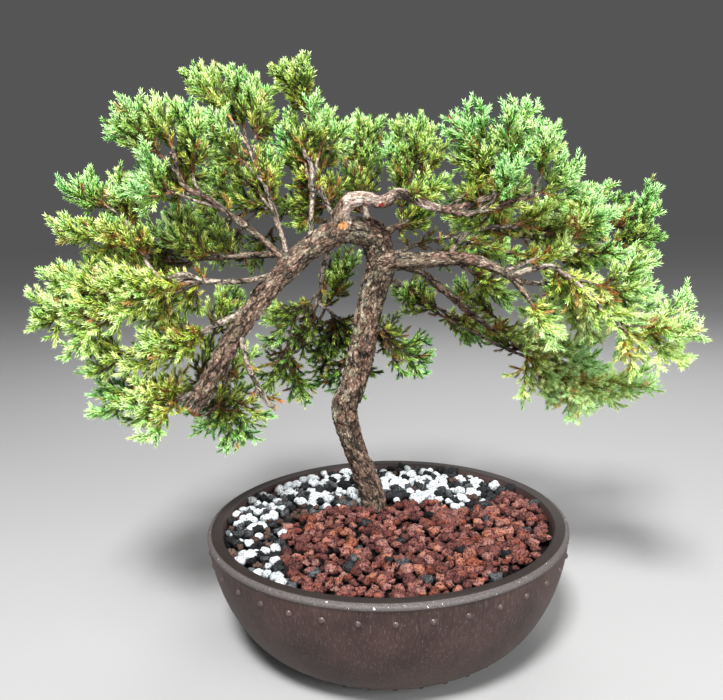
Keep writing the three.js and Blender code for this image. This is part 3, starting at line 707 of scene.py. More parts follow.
def bark_material(name, paler):
    """Rough grey-brown bark in flakes, with painted shade in its cracks, lichen, peeled pink wood and cut
    faces where marked.
    """
    g = material_graph(name)
    place = g.kept("bark_place")
    lichen, peel, cut = g.parts(g.kept("bark_marks"))
    wander = g.add("TexNoise", {"Vector": place, "Scale": 0.2, "Detail": 4}).outputs["Color"]
    bent = g.vector("ADD", place, g.vector("MULTIPLY", wander, (9, 9, 9)))
    fine = g.noise(place, 0.85, 6, 0.72)
    broad = g.noise(place, 0.06)
    flakes = g.less(g.cells(bent, 0.34, "Color"), 0.5)
    tone = g.plus(fine, g.times(flakes, 0.16))
    seam = g.less(1.0, g.between(g.edges(bent, 0.34), 0.0, 0.16))
    crack = g.between(g.edges(bent, 0.15), 0.01, 0.15)
    rift = g.times(g.less(1.0, crack), g.between(g.noise(place, 0.16), 0.38, 0.5))
    height = g.plus(g.times(fine, 0.8), g.times(flakes, 0.9))
    height = g.less(g.less(height, g.times(seam, 0.35)), rift)
    grey = g.ramp(tone, (0.33, "#221a14"), (0.45, "#584a3e"), (0.57, "#83755f"), (0.67, "#c9bead"))
    red = g.ramp(tone, (0.33, "#23150f"), (0.45, "#5a4235"), (0.57, "#866a5a"), (0.68, "#c2a899"))
    smooth = g.ramp(tone, (0.3, "#33251e"), (0.48, "#6c574b"), (0.68, "#9a8475"))
    weathered = g.ramp(tone, (0.32, "#3a2d24"), (0.46, "#8b7b6c"), (0.6, "#d3c6b7"))
    pale = g.ramp(tone, (0.34, "#57533f"), (0.48, "#a3a084"), (0.62, "#d8d6c0"))
    skin = g.ramp(tone, (0.34, "#5e463a"), (0.48, "#a48878"), (0.62, "#eadfd6"))
    rings = g.ramp(fine, (0.36, "#8e5a30"), (0.6, "#d39c62"))
    low = g.between(g.parts(g.place())[2], 150, 95)
    spots = g.between(g.noise(place, 0.22, 4, 0.7), 0.5, 0.58)
    # The dark seams round the flakes and the near-black rifts are painted shade in the cracks
    bark = g.layers(grey, (g.between(broad, 0.42, 0.56), red), (g.times(low, 0.75), smooth),
                    (paler, weathered), (g.times(seam, 0.4), "#1c130e"), (rift, "#0c0705"),
                    (g.times(lichen, spots), pale), (peel, skin), (g.between(peel, 1.2, 1.5), "#7e2822"),
                    (cut, rings))
    return g.finish(bark, 0.8, 0.25, g.bump(height, 1.0, 0.9))


def pot_material(name, roughest, paler):
    """Dark brown clay with fine upright scratches, a greyer lip, partly painted sheen, and a few painted
    glints on it.
    """
    g = material_graph(name)
    place = g.place()
    x, y, z = g.parts(place)
    flat = g.add("CombineXYZ", {0: x, 1: y}).outputs["Vector"]
    away = g.add("VectorMath", {0: flat}, operation="LENGTH").outputs["Value"]
    lip = g.times(g.between(away, 124.0, 124.4), g.between(z, 79.3, 79.7))
    top = g.times(g.between(z, 81.0, 82.0), g.less(1.0, lip))
    fine = g.noise(place, 1.6, 4, 0.7)
    streaks = g.noise(g.place((1, 1, 0.07)), 0.9, 5, 0.8)
    brown = g.ramp(g.noise(place, 0.035), (0.35, "#2e1f1b"), (0.65, "#402d28"))
    # The lip's lighter grey is partly its glaze and partly painted sheen
    grey = g.ramp(fine, (0.4, "#3b3636"), (0.6, "#5f5958"))
    dust = g.between(g.noise(place, 0.7, 5, 0.8), 0.62, 0.71)
    # Painted glints: small white dots on the lip
    painted_glints = g.between(g.noise(place, 0.3, 4, 0.8), 0.65, 0.67)
    # paler lightens the whole piece; on the studs it is a painted highlight
    body = g.layers(brown, (g.times(g.between(streaks, 0.54, 0.66), 0.4), "#706468"),
                    (g.times(g.between(streaks, 0.46, 0.34), 0.5), "#1d1310"),
                    (g.times(dust, 0.6), "#aaa6a8"), (g.times(top, 0.8), "#1d1917"), (paler, "#a49c97"),
                    (lip, grey), (g.times(painted_glints, lip), "#f4f4f8"))
    roughness = g.between(fine, 0.0, 1.0, 0.6 * roughest, roughest)
    return g.finish(body, roughness, 0.35, g.bump(fine, 0.15, 0.6))


def stone_material(name, look):
    """Grit: a base colour by stone from its own shade, mottled, with painted shade in its pits and patches
    of a tint.
    """
    g = material_graph(name)
    place = g.place()
    # The kept shade also carries painted shade at the stones' undersides and in the lower layer
    shade = g.add("Attribute", {}, attribute_name="shade").outputs["Fac"]
    mottle = g.noise(place, 0.7, 4, 0.7)
    tone = g.plus(shade, g.times(g.less(mottle, 0.5), 1.5))
    colour = g.ramp(tone, *look["stops"])
    if "tint" in look:
        patches = g.between(g.noise(place, 0.09), 0.48, 0.64)
        colour = g.mix(patches, colour, g.ramp(tone, *look["tint"]))
    # Painted shade: the pits are darkened toward the darkest colour
    holes = g.between(g.cells(place, look["pits"], "Distance"), 0.18, 0.4)
    darkest = look["stops"][0][1]
    colour = g.mix(g.times(g.less(1.0, holes), 0.9), colour, darkest)
    height = g.plus(holes, g.times(mottle, 1.2))
    return g.finish(colour, look["roughness"], 0.25, g.bump(height, look["bump"], 0.9))


# Foliage

def smooth_route(route, step):
    """A smooth curve through a route's points, in even steps of about the given length."""
    ends = np.vstack([2 * route[0] - route[1], route, 2 * route[-1] - route[-2]])
    pieces = []
    for i in range(1, len(ends) - 2):
        a, b, c, d = ends[i - 1:i + 3]
        t = np.linspace(0, 1, 17)[:-1, None]
        pieces.append(0.5 * (2 * b + (c - a) * t + (2 * a - 5 * b + 4 * c - d) * t ** 2
                             + (3 * b - a - 3 * c + d) * t ** 3))
    dense = np.vstack([*pieces, route[-1:]])
    return even_steps(dense, max(2, round(length_of(dense) / step) + 1))


def lengths_along(route):
    """Distance along a route to each of its points."""
    return np.concatenate([[0], np.cumsum(np.linalg.norm(np.diff(route, axis=0), axis=1))])


def even_steps(route, count):
    """A route resampled at evenly spaced points."""
    lengths = lengths_along(route)
    wanted = np.linspace(0, lengths[-1], count)
    return np.stack([np.interp(wanted, lengths, route[:, axis]) for axis in range(3)], 1)


def children(routes, pitch, length, rng, tilt, first=0.08, last=0.96, taper=0.25):
    """Short shoots that grow forward out of each route, turned round it one after another.

    They end about level with the end of their route, so that a plume has a rounded end."""
    grown = []
    for route in routes:
        total = length_of(route)
        count = max(1, round(total * (last - first) / pitch))
        along = first + (last - first) * (np.arange(count) + rng.uniform(0.2, 0.8, count)) / count
        fine = even_steps(route, ROUTE_STEPS + 1)
        at = along * ROUTE_STEPS
        low = np.minimum(at.astype(int), ROUTE_STEPS - 1)
        start = fine[low] + (fine[low + 1] - fine[low]) * (at - low)[:, None]
        ahead = unit(fine[low + 1] - fine[low])
        turn = rng.uniform(0, 6.28) + SHOOT_TURN * np.arange(count)
        side = unit(np.cross(ahead, unit(rng.normal(size=3))))
        outward = np.cos(turn)[:, None] * side + np.sin(turn)[:, None] * np.cross(ahead, side)
        tilts = (tilt * (1.15 - 0.45 * along) * rng.uniform(0.8, 1.2, count))[:, None]
        heading = ahead * np.cos(tilts) + outward * np.sin(tilts)
        reach = length * (1 - taper * along) * rng.uniform(0.75, 1.2, count)
        reach = np.minimum(reach, 0.7 * total)
        reach = np.minimum(reach, ((1 - along) * total + SHOOT_OVERHANG) / 0.85)
        points = [start]
        for _ in range(SHOOT_POINTS - 1):
            points.append(points[-1] + heading * (reach / (SHOOT_POINTS - 1))[:, None])
            heading = unit(heading + 0.2 * ahead + 0.2 * UP)
        grown.append(np.stack(points, 1))
    return np.concatenate(grown)


def inside_box(routes):
    """The shoots whose every point, leaves included, stays inside the solids' box."""
    low = np.array(CAD_BOX[0]) / MM + BOX_MARGIN
    high = np.array(CAD_BOX[1]) / MM - BOX_MARGIN
    return routes[((routes > low) & (routes < high)).all((1, 2))]


def shoot_axes(routes):
    """Direction and crosswise pair at every point of many shoots."""
    ahead = np.empty_like(routes)
    ahead[:, 1:-1] = routes[:, 2:] - routes[:, :-2]
    ahead[:, 0] = routes[:, 1] - routes[:, 0]
    ahead[:, -1] = routes[:, -1] - routes[:, -2]
    ahead = unit(ahead)
    mean = ahead.mean(1, keepdims=True)
    helper = np.where(np.abs(mean[..., :1]) > 0.8, [0.0, 1.0, 0.0], [1.0, 0.0, 0.0])
    across = unit(helper - ahead * (helper * ahead).sum(-1, keepdims=True))
    return ahead, across, np.cross(ahead, across)


def stems(routes, thick, growth):
    """Slim three-sided stems of many shoots, closed at both ends."""
    ahead, across, aside = (rows[:, :, None] for rows in shoot_axes(routes))
    count, steps = routes.shape[:2]
    radii = thick * np.linspace(1, STEM_TAPER, steps)[:, None, None]
    angles = circle(3)[:, None]
    points = routes[:, :, None] + radii * (across * np.cos(angles) + aside * np.sin(angles))
    tips = routes[:, -1:] + ahead[:, -1] * STEM_POINT
    points = np.concatenate([points.reshape(count, -1, 3), tips], 1)
    size = steps * 3 + 1
    faces = np.vstack([[[0, 2, 1]], band_faces(steps, 3), fan_faces(size - 4, 3, size - 1)])
    faces = faces + (np.arange(count) * size)[:, None, None]
    values = np.repeat(growth[:, None], size, 1).reshape(-1, 3)
    return points.reshape(-1, 3), faces.reshape(-1, 3), values


def awl_leaves(routes, pitch, thick, growth, spray, rng):
    """Awl leaves in whorls of three along many shoots, each folded along its keel and hollow above."""
    ahead, across, aside = shoot_axes(routes)
    lengths = np.linalg.norm(np.diff(routes, axis=1), axis=2).sum(1)
    counts = np.maximum(2, np.round(lengths / pitch)).astype(int)
    shoot = np.repeat(np.arange(len(routes)), counts)
    whorl = np.arange(len(shoot)) - np.repeat(np.cumsum(counts) - counts, counts)
    along = (whorl + 0.9) / counts[shoot]
    shoot, whorl, along = (np.repeat(values, 3) for values in (shoot, whorl, along))
    leaf = np.tile(np.arange(3), len(shoot) // 3)
    at = np.minimum(along, 0.999) * (routes.shape[1] - 1)
    low = at.astype(int)
    part = (at - low)[:, None]
    centre = routes[shoot, low] * (1 - part) + routes[shoot, low + 1] * part
    fore = unit(ahead[shoot, low] * (1 - part) + ahead[shoot, low + 1] * part)
    turn = leaf * 2 * math.pi / 3 + whorl * math.pi / 3 + shoot * 1.3 + rng.normal(0, 0.16, len(leaf))
    outward = np.cos(turn)[:, None] * across[shoot, low] + np.sin(turn)[:, None] * aside[shoot, low]
    outward = unit(outward - fore * (outward * fore).sum(1, keepdims=True))
    beside = np.cross(fore, outward)
    young = along ** 2
    tilt = (0.66 - 0.2 * young) * rng.uniform(0.75, 1.25, len(leaf))
    size = LEAF_LENGTH * (1.0 - 0.35 * young) * rng.uniform(0.85, 1.15, len(leaf))
    point = fore * np.cos(tilt)[:, None] + outward * np.sin(tilt)[:, None]
    root = centre + outward * (thick * 0.4)
    width = LEAF_WIDTH / 2
    keel = np.cross(beside, point)
    corners = np.stack([root + beside * width, root - beside * width, root - keel * LEAF_DEPTH,
                        root + point * size[:, None] + fore * 0.3], 1)
    faces = np.array([[1, 2, 3], [2, 0, 3]]) + 4 * np.arange(len(leaf))[:, None, None]
    values = np.repeat(growth[shoot][:, None], 4, 1)
    fresh = freshness(centre, spray)[:, None]
    spread = rng.normal(0, LEAF_TONE_SPREAD, (len(leaf), 1))
    # Tone rises out along the spray and along the shoot: partly fresh growth, partly painted shade inside
    # the crown
    values[:, :, 0] += FRESH_AND_SHADE_TONE * fresh + (ALONG_TONE * along)[:, None] + spread
    values[:, :, 1] += FRESH_HUE * (fresh - 0.6)
    # Painted shade at each leaf's foot and a painted highlight at its point
    values[:, :3, 0] += FOOT_TONE
    values[:, 3, 0] += POINT_TONE
    return corners.reshape(-1, 3), faces.reshape(-1, 3), values.reshape(-1, 3)


def freshness(points, spray):
    """How far out in its spray a place is: 0 at the old foot, 1 at the fresh outer end."""
    return np.clip(np.linalg.norm(points - spray["axis"][0], axis=1) / spray["reach"], 0, 1)


def spray_shoots(spray, rng):
    """All shoots of one spray by order: the axis and side shoots, branchlets, and shootlets."""
    axis = np.vstack([spray["axis"], spray["tip"]])
    mains = [shortened(smooth_route(route, MAIN_STEP)) for route in [axis, *spray["sides"]]]
    branchlets = children(mains[:1], BRANCHLET_PITCH, BRANCHLET_LENGTH, rng, BRANCHLET_TILT)
    if spray["sides"]:
        more = children(mains[1:], 1.5 * BRANCHLET_PITCH, 0.7 * BRANCHLET_LENGTH, rng, SHOOTLET_TILT)
        branchlets = np.concatenate([branchlets, more])
    branchlets = inside_box(branchlets)
    shootlets = children([*mains, *branchlets], SHOOTLET_PITCH, SHOOTLET_LENGTH, rng, SHOOTLET_TILT)
    return np.stack([even_steps(route, SHOOT_POINTS) for route in mains]), branchlets, inside_box(shootlets)


def shortened(route):
    """A route cut short by the room that its last leaves need."""
    total = length_of(route)
    share = np.linspace(0, 1 - TIP_MARGIN / total, len(route))
    return np.array([point_along(route, total * part) for part in share])


def growth_values(routes, tone, spray, rng):
    """Tone, hue and dryness of each shoot: some on the inside are yellow or dried."""
    count = len(routes)
    fresh = freshness(routes[:, -1], spray)
    tones = tone + spray["tone"] + rng.normal(0, SHOOT_TONE_SPREAD, count)
    hues = 0.5 + spray["hue"] + rng.normal(0, SHOOT_HUE_SPREAD, count)
    dry = (rng.uniform(0, 1, count) < 0.02 + 0.3 * (1 - fresh) ** 2) * rng.uniform(0.4, 1.0, count)
    return np.stack([tones, hues, dry], 1)


def leafy(shoots, orders, spray, rng):
    """Stems and leaves of shoots of each order."""
    parts = []
    for routes, (tone, thick, pitch) in zip(shoots, orders):
        growth = growth_values(routes, tone, spray, rng)
        woody = growth.copy()
        woody[:, 0] += STEM_TONE
        woody[:, 2] = np.clip(1.1 - 1.3 * freshness(routes[:, 0], spray), 0.15, 1.0)
        parts.append(stems(routes, thick, woody))
        parts.append(awl_leaves(routes, WHORL_PITCH * pitch, thick, growth, spray, rng))
    return joined(parts)


def spray_mesh(spray, rng):
    """Stems and leaves of one spray."""
    return leafy(spray_shoots(spray, rng), SPRAY_ORDERS, spray, rng)


def painted_light_and_shade(tip):
    """Painted light and shade: tone added to sprays high up, on the right or low and far out, and taken from
    those behind or low near the trunk.
    """
    near, lift = (60, 0.002) if tip[0] > 0 else (80, 0.0006)
    outer = min(1, max(0, (abs(tip[0]) - near) / near))
    low = (lift * outer - 0.0014 * (1 - outer)) * max(0, 280 - tip[2])
    high = 0.0006 * max(0, tip[2] - 320)
    right = 0.001 * max(0, min(tip[0], 290 - tip[0]))
    behind = 0.0012 * max(0, tip[1])
    return low + high + right - behind


def inner_plumes(limbs):
    """Sprays further in, with no side shoots of their own."""
    plumes = []
    for limb, tips in INNER_TIPS.items():
        for tip in np.array(tips, float):
            way = way_to_tip(limbs[limb][0], tip, False)
            total = length_of(way)
            start = max(total - INNER_LENGTH, 0)
            axis = [point_along(way, start + (total - start) * part) for part in INNER_PARTS]
            # Painted light and shade, painted shade for plumes further in, and painted light for plumes in
            # front
            tone = painted_light_and_shade(tip) + INNER_TONE - 0.0015 * min(0, tip[1])
            plumes.append({"name": "inner", "limb": limb, "leading": False, "way": way, "start": start,
                           "axis": np.array(axis), "tip": tip, "sides": [], "reach": INNER_LENGTH + 4,
                           "tone": tone, "hue": HUE_ACROSS * tip[0] + INNER_HUE})
    return plumes


def tuft_mesh(route, rng):
    """Stems and leaves of short shoots straight out of a thin limb, few of them in front of it."""
    shoots = inside_box(children([route], TUFT_PITCH, TUFT_LENGTH, rng, TUFT_TILT, first=0.4, last=1.0))
    backward = unit(shoots[:, -1] - shoots[:, 0])[:, 1]
    shoots = shoots[(backward > -0.35) & (rng.uniform(0, 1, len(shoots)) < TUFT_SHARE)]
    if not len(shoots):
        return []
    shootlets = children(shoots, SHOOTLET_PITCH, 0.7 * SHOOTLET_LENGTH, rng, SHOOTLET_TILT)
    spray = {"axis": route[:1], "reach": 1000, "tone": 0.1, "hue": 0.0}
    return [leafy([shoots, inside_box(shootlets)], TUFT_ORDERS, spray, rng)]


def make_leaves(name, parts, material, *nodes):
    """One piece of fine foliage, which stands for some nodes."""
    points, faces, values = joined(parts)
    piece = make_piece(name + "_leaves", points, faces, material, False, {"growth": values})
    settle(piece, "foliage", *nodes)


def make_foliage(limbs, sprays, plumes):
    """One piece for each spray, and one for the inner plumes and tufts of each limb."""
    material = foliage_material()
    rng = np.random.default_rng(FOLIAGE_SEED)
    for spray in sprays:
        spray["hue"] = HUE_ACROSS * spray["tip"][0] + rng.normal(*SPRAY_HUE)
        # A spray's tone is its own random tone plus painted light and shade
        spray["tone"] = rng.normal(0, SPRAY_TONE_SPREAD) + painted_light_and_shade(spray["tip"])
        spray["reach"] = length_of(np.vstack([spray["axis"], spray["tip"]]))
        make_leaves(spray["name"], [spray_mesh(spray, rng)], material, spray["name"])
    for limb, (route, radii) in limbs.items():
        parts = [spray_mesh(plume, rng) for plume in plumes if plume["limb"] == limb]
        if radii[0] < THIN_LIMB:
            parts += tuft_mesh(route, rng)
        if parts:
            make_leaves("inner_" + limb, parts, material)


# Wood

def tube(route, radii, sides):
    """Points and faces of a tube with shallow pointed ends."""
    frames = frames_along(route)
    rings = [ring(route[i], frames[i], radii[i], sides, 0) for i in range(len(route))]
    ends = [route[0] - frames[0][0] * radii[0] * 0.3, route[-1] + frames[-1][0] * radii[-1] * 0.1]
    return np.vstack([*rings, ends]), closed_faces(len(route), sides)


def wood_runs(limbs, sprays):
    """Every limb and bare twig as a smooth route with a radius at each point."""
    runs = []
    for name, (route, radii) in limbs.items():
        smooth = smooth_route(route, WOOD_STEP)
        lengths = lengths_along(route)
        at = np.linspace(0, lengths[-1], len(smooth))
        runs.append({"name": name, "route": smooth, "radii": np.interp(at, lengths, radii)})
    for spray in sprays:
        bare = max(spray["start"], 0) + 6
        steps = max(3, round(bare / WOOD_STEP))
        route = np.array([point_along(spray["way"], bare * i / (steps - 1)) for i in range(steps)])
        thick = limbs[spray["limb"]][1][-1] if spray["leading"] else SMALL_TWIG
        runs.append({"name": spray["name"], "route": route, "radii": np.linspace(thick, 0.9, steps)})
    return runs


def bark_places(points, runs):
    """Places round and along the nearest limb, so that bark runs lengthwise, and that limb's name."""
    samples = [(number, i) for number, run in enumerate(runs) for i in range(len(run["route"]))]
    tree = kdtree.KDTree(len(samples))
    for index, (number, i) in enumerate(samples):
        tree.insert(runs[number]["route"][i], index)
    tree.balance()
    frames = [frames_along(run["route"]) for run in runs]
    thick = [runs[number]["radii"][i] for number, i in samples]
    places = np.empty_like(points)
    names = []
    for n, point in enumerate(points):
        best = min(tree.find_n(point, 6), key=lambda hit: hit[2] - thick[hit[1]])
        number, i = samples[best[1]]
        offset = point - runs[number]["route"][i]
        ahead, across, aside = frames[number][i]
        along = i * WOOD_STEP + offset @ ahead
        places[n] = (offset @ across, offset @ aside, 0.6 * along + 37 * number)
        names.append(runs[number]["name"])
    return places, np.array(names)


def bark_relief(place):
    """Height of the bark in millimetres: broad lumps, plates with deep cracks between, and knobs."""
    lumps = noise.noise(Vector(place) * 0.09)
    bent = Vector(place) + 3.5 * noise.noise_vector(Vector(place) * 0.2)
    near, second = noise.voronoi(bent * 0.17)[0][:2]
    plate = min(1.0, (second - near) * 3.5)
    knobs = noise.fractal(Vector(place) * 0.33, 0.7, 2.0, 4)
    return LUMP_HEIGHT * lumps + PLATE_HEIGHT * (plate - 0.8) + KNOB_HEIGHT * knobs - BARK_SINK


def fused_wood(runs):
    """The trunk and heavy limbs grown together in one skin."""
    points, faces = joined([tube(run["route"], run["radii"], HEAVY_SIDES) for run in runs])
    rough = make_piece("wood_draft", points, faces, None)
    remesh = rough.modifiers.new("fuse", "REMESH")
    remesh.mode = "VOXEL"
    remesh.voxel_size = VOXEL * MM
    graph = bpy.context.evaluated_depsgraph_get()
    mesh = bpy.data.meshes.new_from_object(rough.evaluated_get(graph))
    bpy.data.objects.remove(rough)
    return mesh


def noise_at(points, scale, kind=noise.noise, *settings):
    """Noise of a kind at each of many points, features about one over scale in size."""
    return np.array([kind(Vector(point) * scale, *settings) for point in points])


def bark_marks(points, names, limbs):
    """Where lichen grows, where bark has peeled, and where wood is cut."""
    x, y, z = points.T
    trunk = names == "trunk"
    patches = noise_at(points, 0.05)
    route = limbs["trunk"][0]
    leftward = np.interp(z, route[:, 2], route[:, 0]) - x
    sunny = np.clip(leftward / 9 + 0.35, 0, 1) * np.interp(z, (130, 150, 205, 260), (0, 1, 0.9, 0.3))
    lichen = np.where(trunk, sunny, 0.25) * np.clip(1.2 * patches + 0.7, 0, 1)
    top = names == "top_branch"
    peel = np.where(top & (x > -24) & (x < 40), np.clip(2.2 * patches + 0.75, 0, 0.85), 0.0)
    spot = np.linalg.norm(points - RED_SPOT, axis=1) + 2.5 * noise_at(points, 0.5) < RED_SPOT_RADIUS
    peel = np.where(top & spot, 1.6, peel)
    cut = (np.linalg.norm(points - SCAR_PLACE, axis=1) < SCAR_RADIUS).astype(float)
    for name in ("left_main", "cut_twig"):
        route = limbs[name][0]
        ahead = unit(route[-1] - route[-2])
        beyond = (points - route[-1]) @ ahead
        near = np.linalg.norm(points - route[-1], axis=1) < 9
        cut = np.maximum(cut, near * np.clip((beyond + 0.5) / 0.5, 0, 1))
    return np.stack([lichen, peel, cut], 1)


def heavy_relief(places, names, marks):
    """Height of the bark on the trunk and heavy limbs, lower where it has peeled and none on a cut."""
    relief = np.array([bark_relief(place) for place in places])
    relief *= (1 - 0.4 * np.minimum(marks[:, 1], 1)) * (1 - marks[:, 2])
    return relief * np.where(np.isin(names, ["trunk", "left_main"]), 1.0, 0.6)


def slim_relief(places, names, marks):
    """Height of the swellings on thin limbs and twigs, none on a cut."""
    swell = noise_at(places, 0.5, noise.fractal, 0.8, 2.0, 3)
    return SWELL_HEIGHT * swell * (1 - marks[:, 2])


def add_bark(mesh, points, runs, limbs, height):
    """Moves a mesh's points out by the bark's height, and keeps what the bark's material reads."""
    places, names = bark_places(points, runs)
    marks = bark_marks(points, names, limbs)
    normals = np.array([vertex.normal for vertex in mesh.vertices])
    set_points(mesh, points + normals * height(places, names, marks)[:, None])
    keep_values(mesh, "bark_place", places)
    keep_values(mesh, "bark_marks", marks)


def make_heavy_wood(runs, limbs):
    """The trunk and heavy limbs in one skin of bark."""
    mesh = fused_wood(runs)
    points = np.empty(len(mesh.vertices) * 3, np.float32)
    mesh.vertices.foreach_get("co", points)
    add_bark(mesh, points.reshape(-1, 3).astype(float) / MM, runs, limbs, heavy_relief)
    mesh.polygons.foreach_set("use_smooth", np.full(len(mesh.polygons), True))
    mesh.materials.clear()
    mesh.materials.append(bark_material("juniper_bark", 0.0))
    mesh.update()
    settle(placed("trunk_and_heavy_branches", mesh), "bark", "trunk_and_branches")


def make_wood(limbs, sprays):
    """The fused trunk and heavy limbs, and the thin limbs and twigs."""
    noise.seed_set(BARK_SEED)
    runs = wood_runs(limbs, sprays)
    make_heavy_wood([run for run in runs if run["name"] in FUSED_LIMBS], limbs)
    slim = []
    for run in runs:
        if run["name"] not in FUSED_LIMBS:
            wobble = noise_at(run["route"], 0.09, noise.noise_vector)
            wobble[0] = 0
            slim.append(tube(run["route"] + WOBBLE * wobble, run["radii"] * SLIM_SHARE, SLIM_SIDES))
    points, faces = joined(slim)
    piece = make_piece("thin_branches", points, faces, bark_material("thin_bark", 0.65))
    add_bark(piece.data, points, runs, limbs, slim_relief)
    settle(piece, "bark")


# Pot

def turned(profile, name, material):
    """A closed lathe of [radius, height] pairs, which begin and end on the axis."""
    profile = np.array(profile, float)
    radii, heights = profile[1:-1].T
    points = rings_round(radii, heights, POT_STEPS)
    ends = [[0, 0, profile[0, 1]], [0, 0, profile[-1, 1]]]
    return make_piece(name, np.vstack([points, ends]), closed_faces(len(radii), POT_STEPS), material)


def pot_profile():
    """The bowl's profile: a rounded foot, a full curve up, a rounded lip and the inside wall."""
    wall = smooth_profile(OUTER_WALL, 2.5)[1:]
    return [*FOOT, *wall, *smooth_profile(LIP, 0.8), *smooth_profile(INNER_WALL, 6), [0, FLOOR]]


def smooth_profile(corners, step):
    """A smooth curve through points of a profile."""
    route = np.column_stack([corners, np.zeros(len(corners))])
    return smooth_route(route, step)[:, :2].tolist()


def make_studs(material):
    """Domed nail heads in two rows round the pot, each sunk a little into the wall."""
    dome = np.array([[r * math.cos(a), r * math.sin(a), h] for r, h in STUD_DOME for a in circle(STUD_STEPS)]
                    + [[0, 0, 1]]) * (STUD_RADIUS, STUD_RADIUS, STUD_RISE)
    top = len(dome) - 1
    base = [[0, k + 1, k] for k in range(1, STUD_STEPS - 1)]
    faces = np.vstack([band_faces(len(STUD_DOME), STUD_STEPS),
                       fan_faces(top - STUD_STEPS, STUD_STEPS, top), base])
    parts = []
    for row in STUD_ROWS:
        lean = np.array(Matrix.Rotation(math.pi / 2 + row["lean"], 3, "Y"))
        points = dome @ lean.T + (row["radius"], 0, row["height"])
        for i in range(STUDS_PER_ROW):
            turn = np.array(Matrix.Rotation(2 * math.pi * i / STUDS_PER_ROW - math.pi / 2, 3, "Z"))
            parts.append((points @ turn.T, faces))
    settle(make_piece("studs", *joined(parts), material), "pot")


def make_pot():
    """The bowl and its studs."""
    settle(turned(pot_profile(), "bowl", pot_material("pot_clay", 0.75, 0.0)), "pot", "pot")
    # The studs' clay is mixed paler: painted highlight
    make_studs(pot_material("stud_clay", 0.3, 0.08))


# Soil and stones

def soil_height(x, y):
    """Soil height, a low mound round the trunk."""
    away = ((x - TRUNK_X) ** 2 + (y - TRUNK_Y) ** 2) / SOIL_RISE_WIDTH ** 2
    return SOIL_EDGE_HEIGHT + SOIL_RISE * np.exp(-away)


def is_red(x, y):
    """Whether places lie in the red stones' plan."""
    inside = np.zeros(len(x), bool)
    for (ax, ay), (bx, by) in zip(RED_PLAN, RED_PLAN[1:] + RED_PLAN[:1]):
        if ay == by:
            continue
        crossing = ((ay > y) != (by > y)) & (x < (bx - ax) * (y - ay) / (by - ay) + ax)
        inside ^= crossing
    return inside


def bed_places(pitch, rng):
    """Shaken places on a honeycomb over the bed, clear of the trunk."""
    row, column = np.meshgrid(np.arange(-40, 41), np.arange(-40, 41))
    x = (pitch * (column + 0.5 * (row % 2))).ravel() + rng.uniform(-STONE_SHAKE, STONE_SHAKE, row.size)
    y = (pitch * 0.866 * row).ravel() + rng.uniform(-STONE_SHAKE, STONE_SHAKE, row.size)
    from_trunk = np.hypot(x - TRUNK_X, y - TRUNK_Y)
    kept = (np.hypot(x, y) < BED_RADIUS + 0.8) & (from_trunk > TRUNK_CLEARANCE)
    return x[kept], y[kept]


def lump_shape(level, roughness, seed):
    """A unit stone: a round cube of a few squares a side, pushed in and out by noise."""
    steps = np.linspace(-1, 1, level + 1)
    u, v = (grid.ravel() for grid in np.meshgrid(steps, steps, indexing="ij"))
    points, faces = [], []
    for axis in range(3):
        for sign in (-1, 1):
            side = np.empty((len(u), 3))
            side[:, axis], side[:, (axis + 1) % 3], side[:, (axis + 2) % 3] = sign, u, v
            for i in range(level):
                for j in range(level):
                    a = len(points) * len(u) + i * (level + 1) + j
                    square = [a, a + level + 1, a + level + 2, a + 1][::sign]
                    faces += [[square[0], square[1], square[2]], [square[0], square[2], square[3]]]
            points.append(side)
    points, place = np.unique(np.round(np.concatenate(points), 5), axis=0, return_inverse=True)
    points = unit(points)
    shift = Vector((seed * 7.3, seed * 3.1, seed * 5.7))
    out = np.array([1 + roughness * noise.fractal(Vector(point) * 1.3 + shift, 0.7, 2.1, 3)
                    for point in points])
    return points * out[:, None], place.ravel()[np.array(faces)]


def scattered(shapes, places, sizes, shades, rng):
    """Many stones of a few shapes, each turned and stretched its own way."""
    parts = []
    for place, size in zip(places, sizes):
        points, faces = shapes[rng.integers(len(shapes))]
        turn = np.linalg.qr(rng.normal(size=(3, 3)))[0]
        if np.linalg.det(turn) < 0:
            turn[:, 0] *= -1
        stretched = (points * rng.uniform(0.75, 1.2, 3)) @ turn.T * size
        stretched[:, 2] *= 0.85
        # Each stone's own random shade, plus painted shade toward its underside
        shade = rng.uniform(*shades) + LOW_SHADE * np.minimum(stretched[:, 2] / size, 0.3)
        parts.append((stretched + place, faces, shade))
    return joined(parts)


def make_bed_floor():
    """The dark soil under the stones, as a low rough disc."""
    radii = np.linspace(0, 1, BED_RINGS + 1)[1:] * (BED_RADIUS - 0.2)
    top = rings_round(radii, np.zeros(BED_RINGS), BED_STEPS)
    bumps = noise_at(top, 0.25, noise.fractal, 0.8, 2, 3)
    top[:, 2] = soil_height(top[:, 0], top[:, 1]) - BED_DEPTH + BED_BUMPS * bumps
    low = top[-BED_STEPS:] * (1, 1, 0) + (0, 0, BED_UNDERSIDE)
    centres = [[0, 0, soil_height(0, 0) - BED_DEPTH], [0, 0, BED_UNDERSIDE]]
    points = np.vstack([top, low, centres])
    faces = closed_faces(BED_RINGS + 1, BED_STEPS)[:, ::-1]
    material = stone_material("dark_soil", SOIL_LOOK)
    shade = np.full(len(points), 0.4)
    settle(make_piece("soil_bed", points, faces, material, True, {"shade": shade}), "soil", "soil")


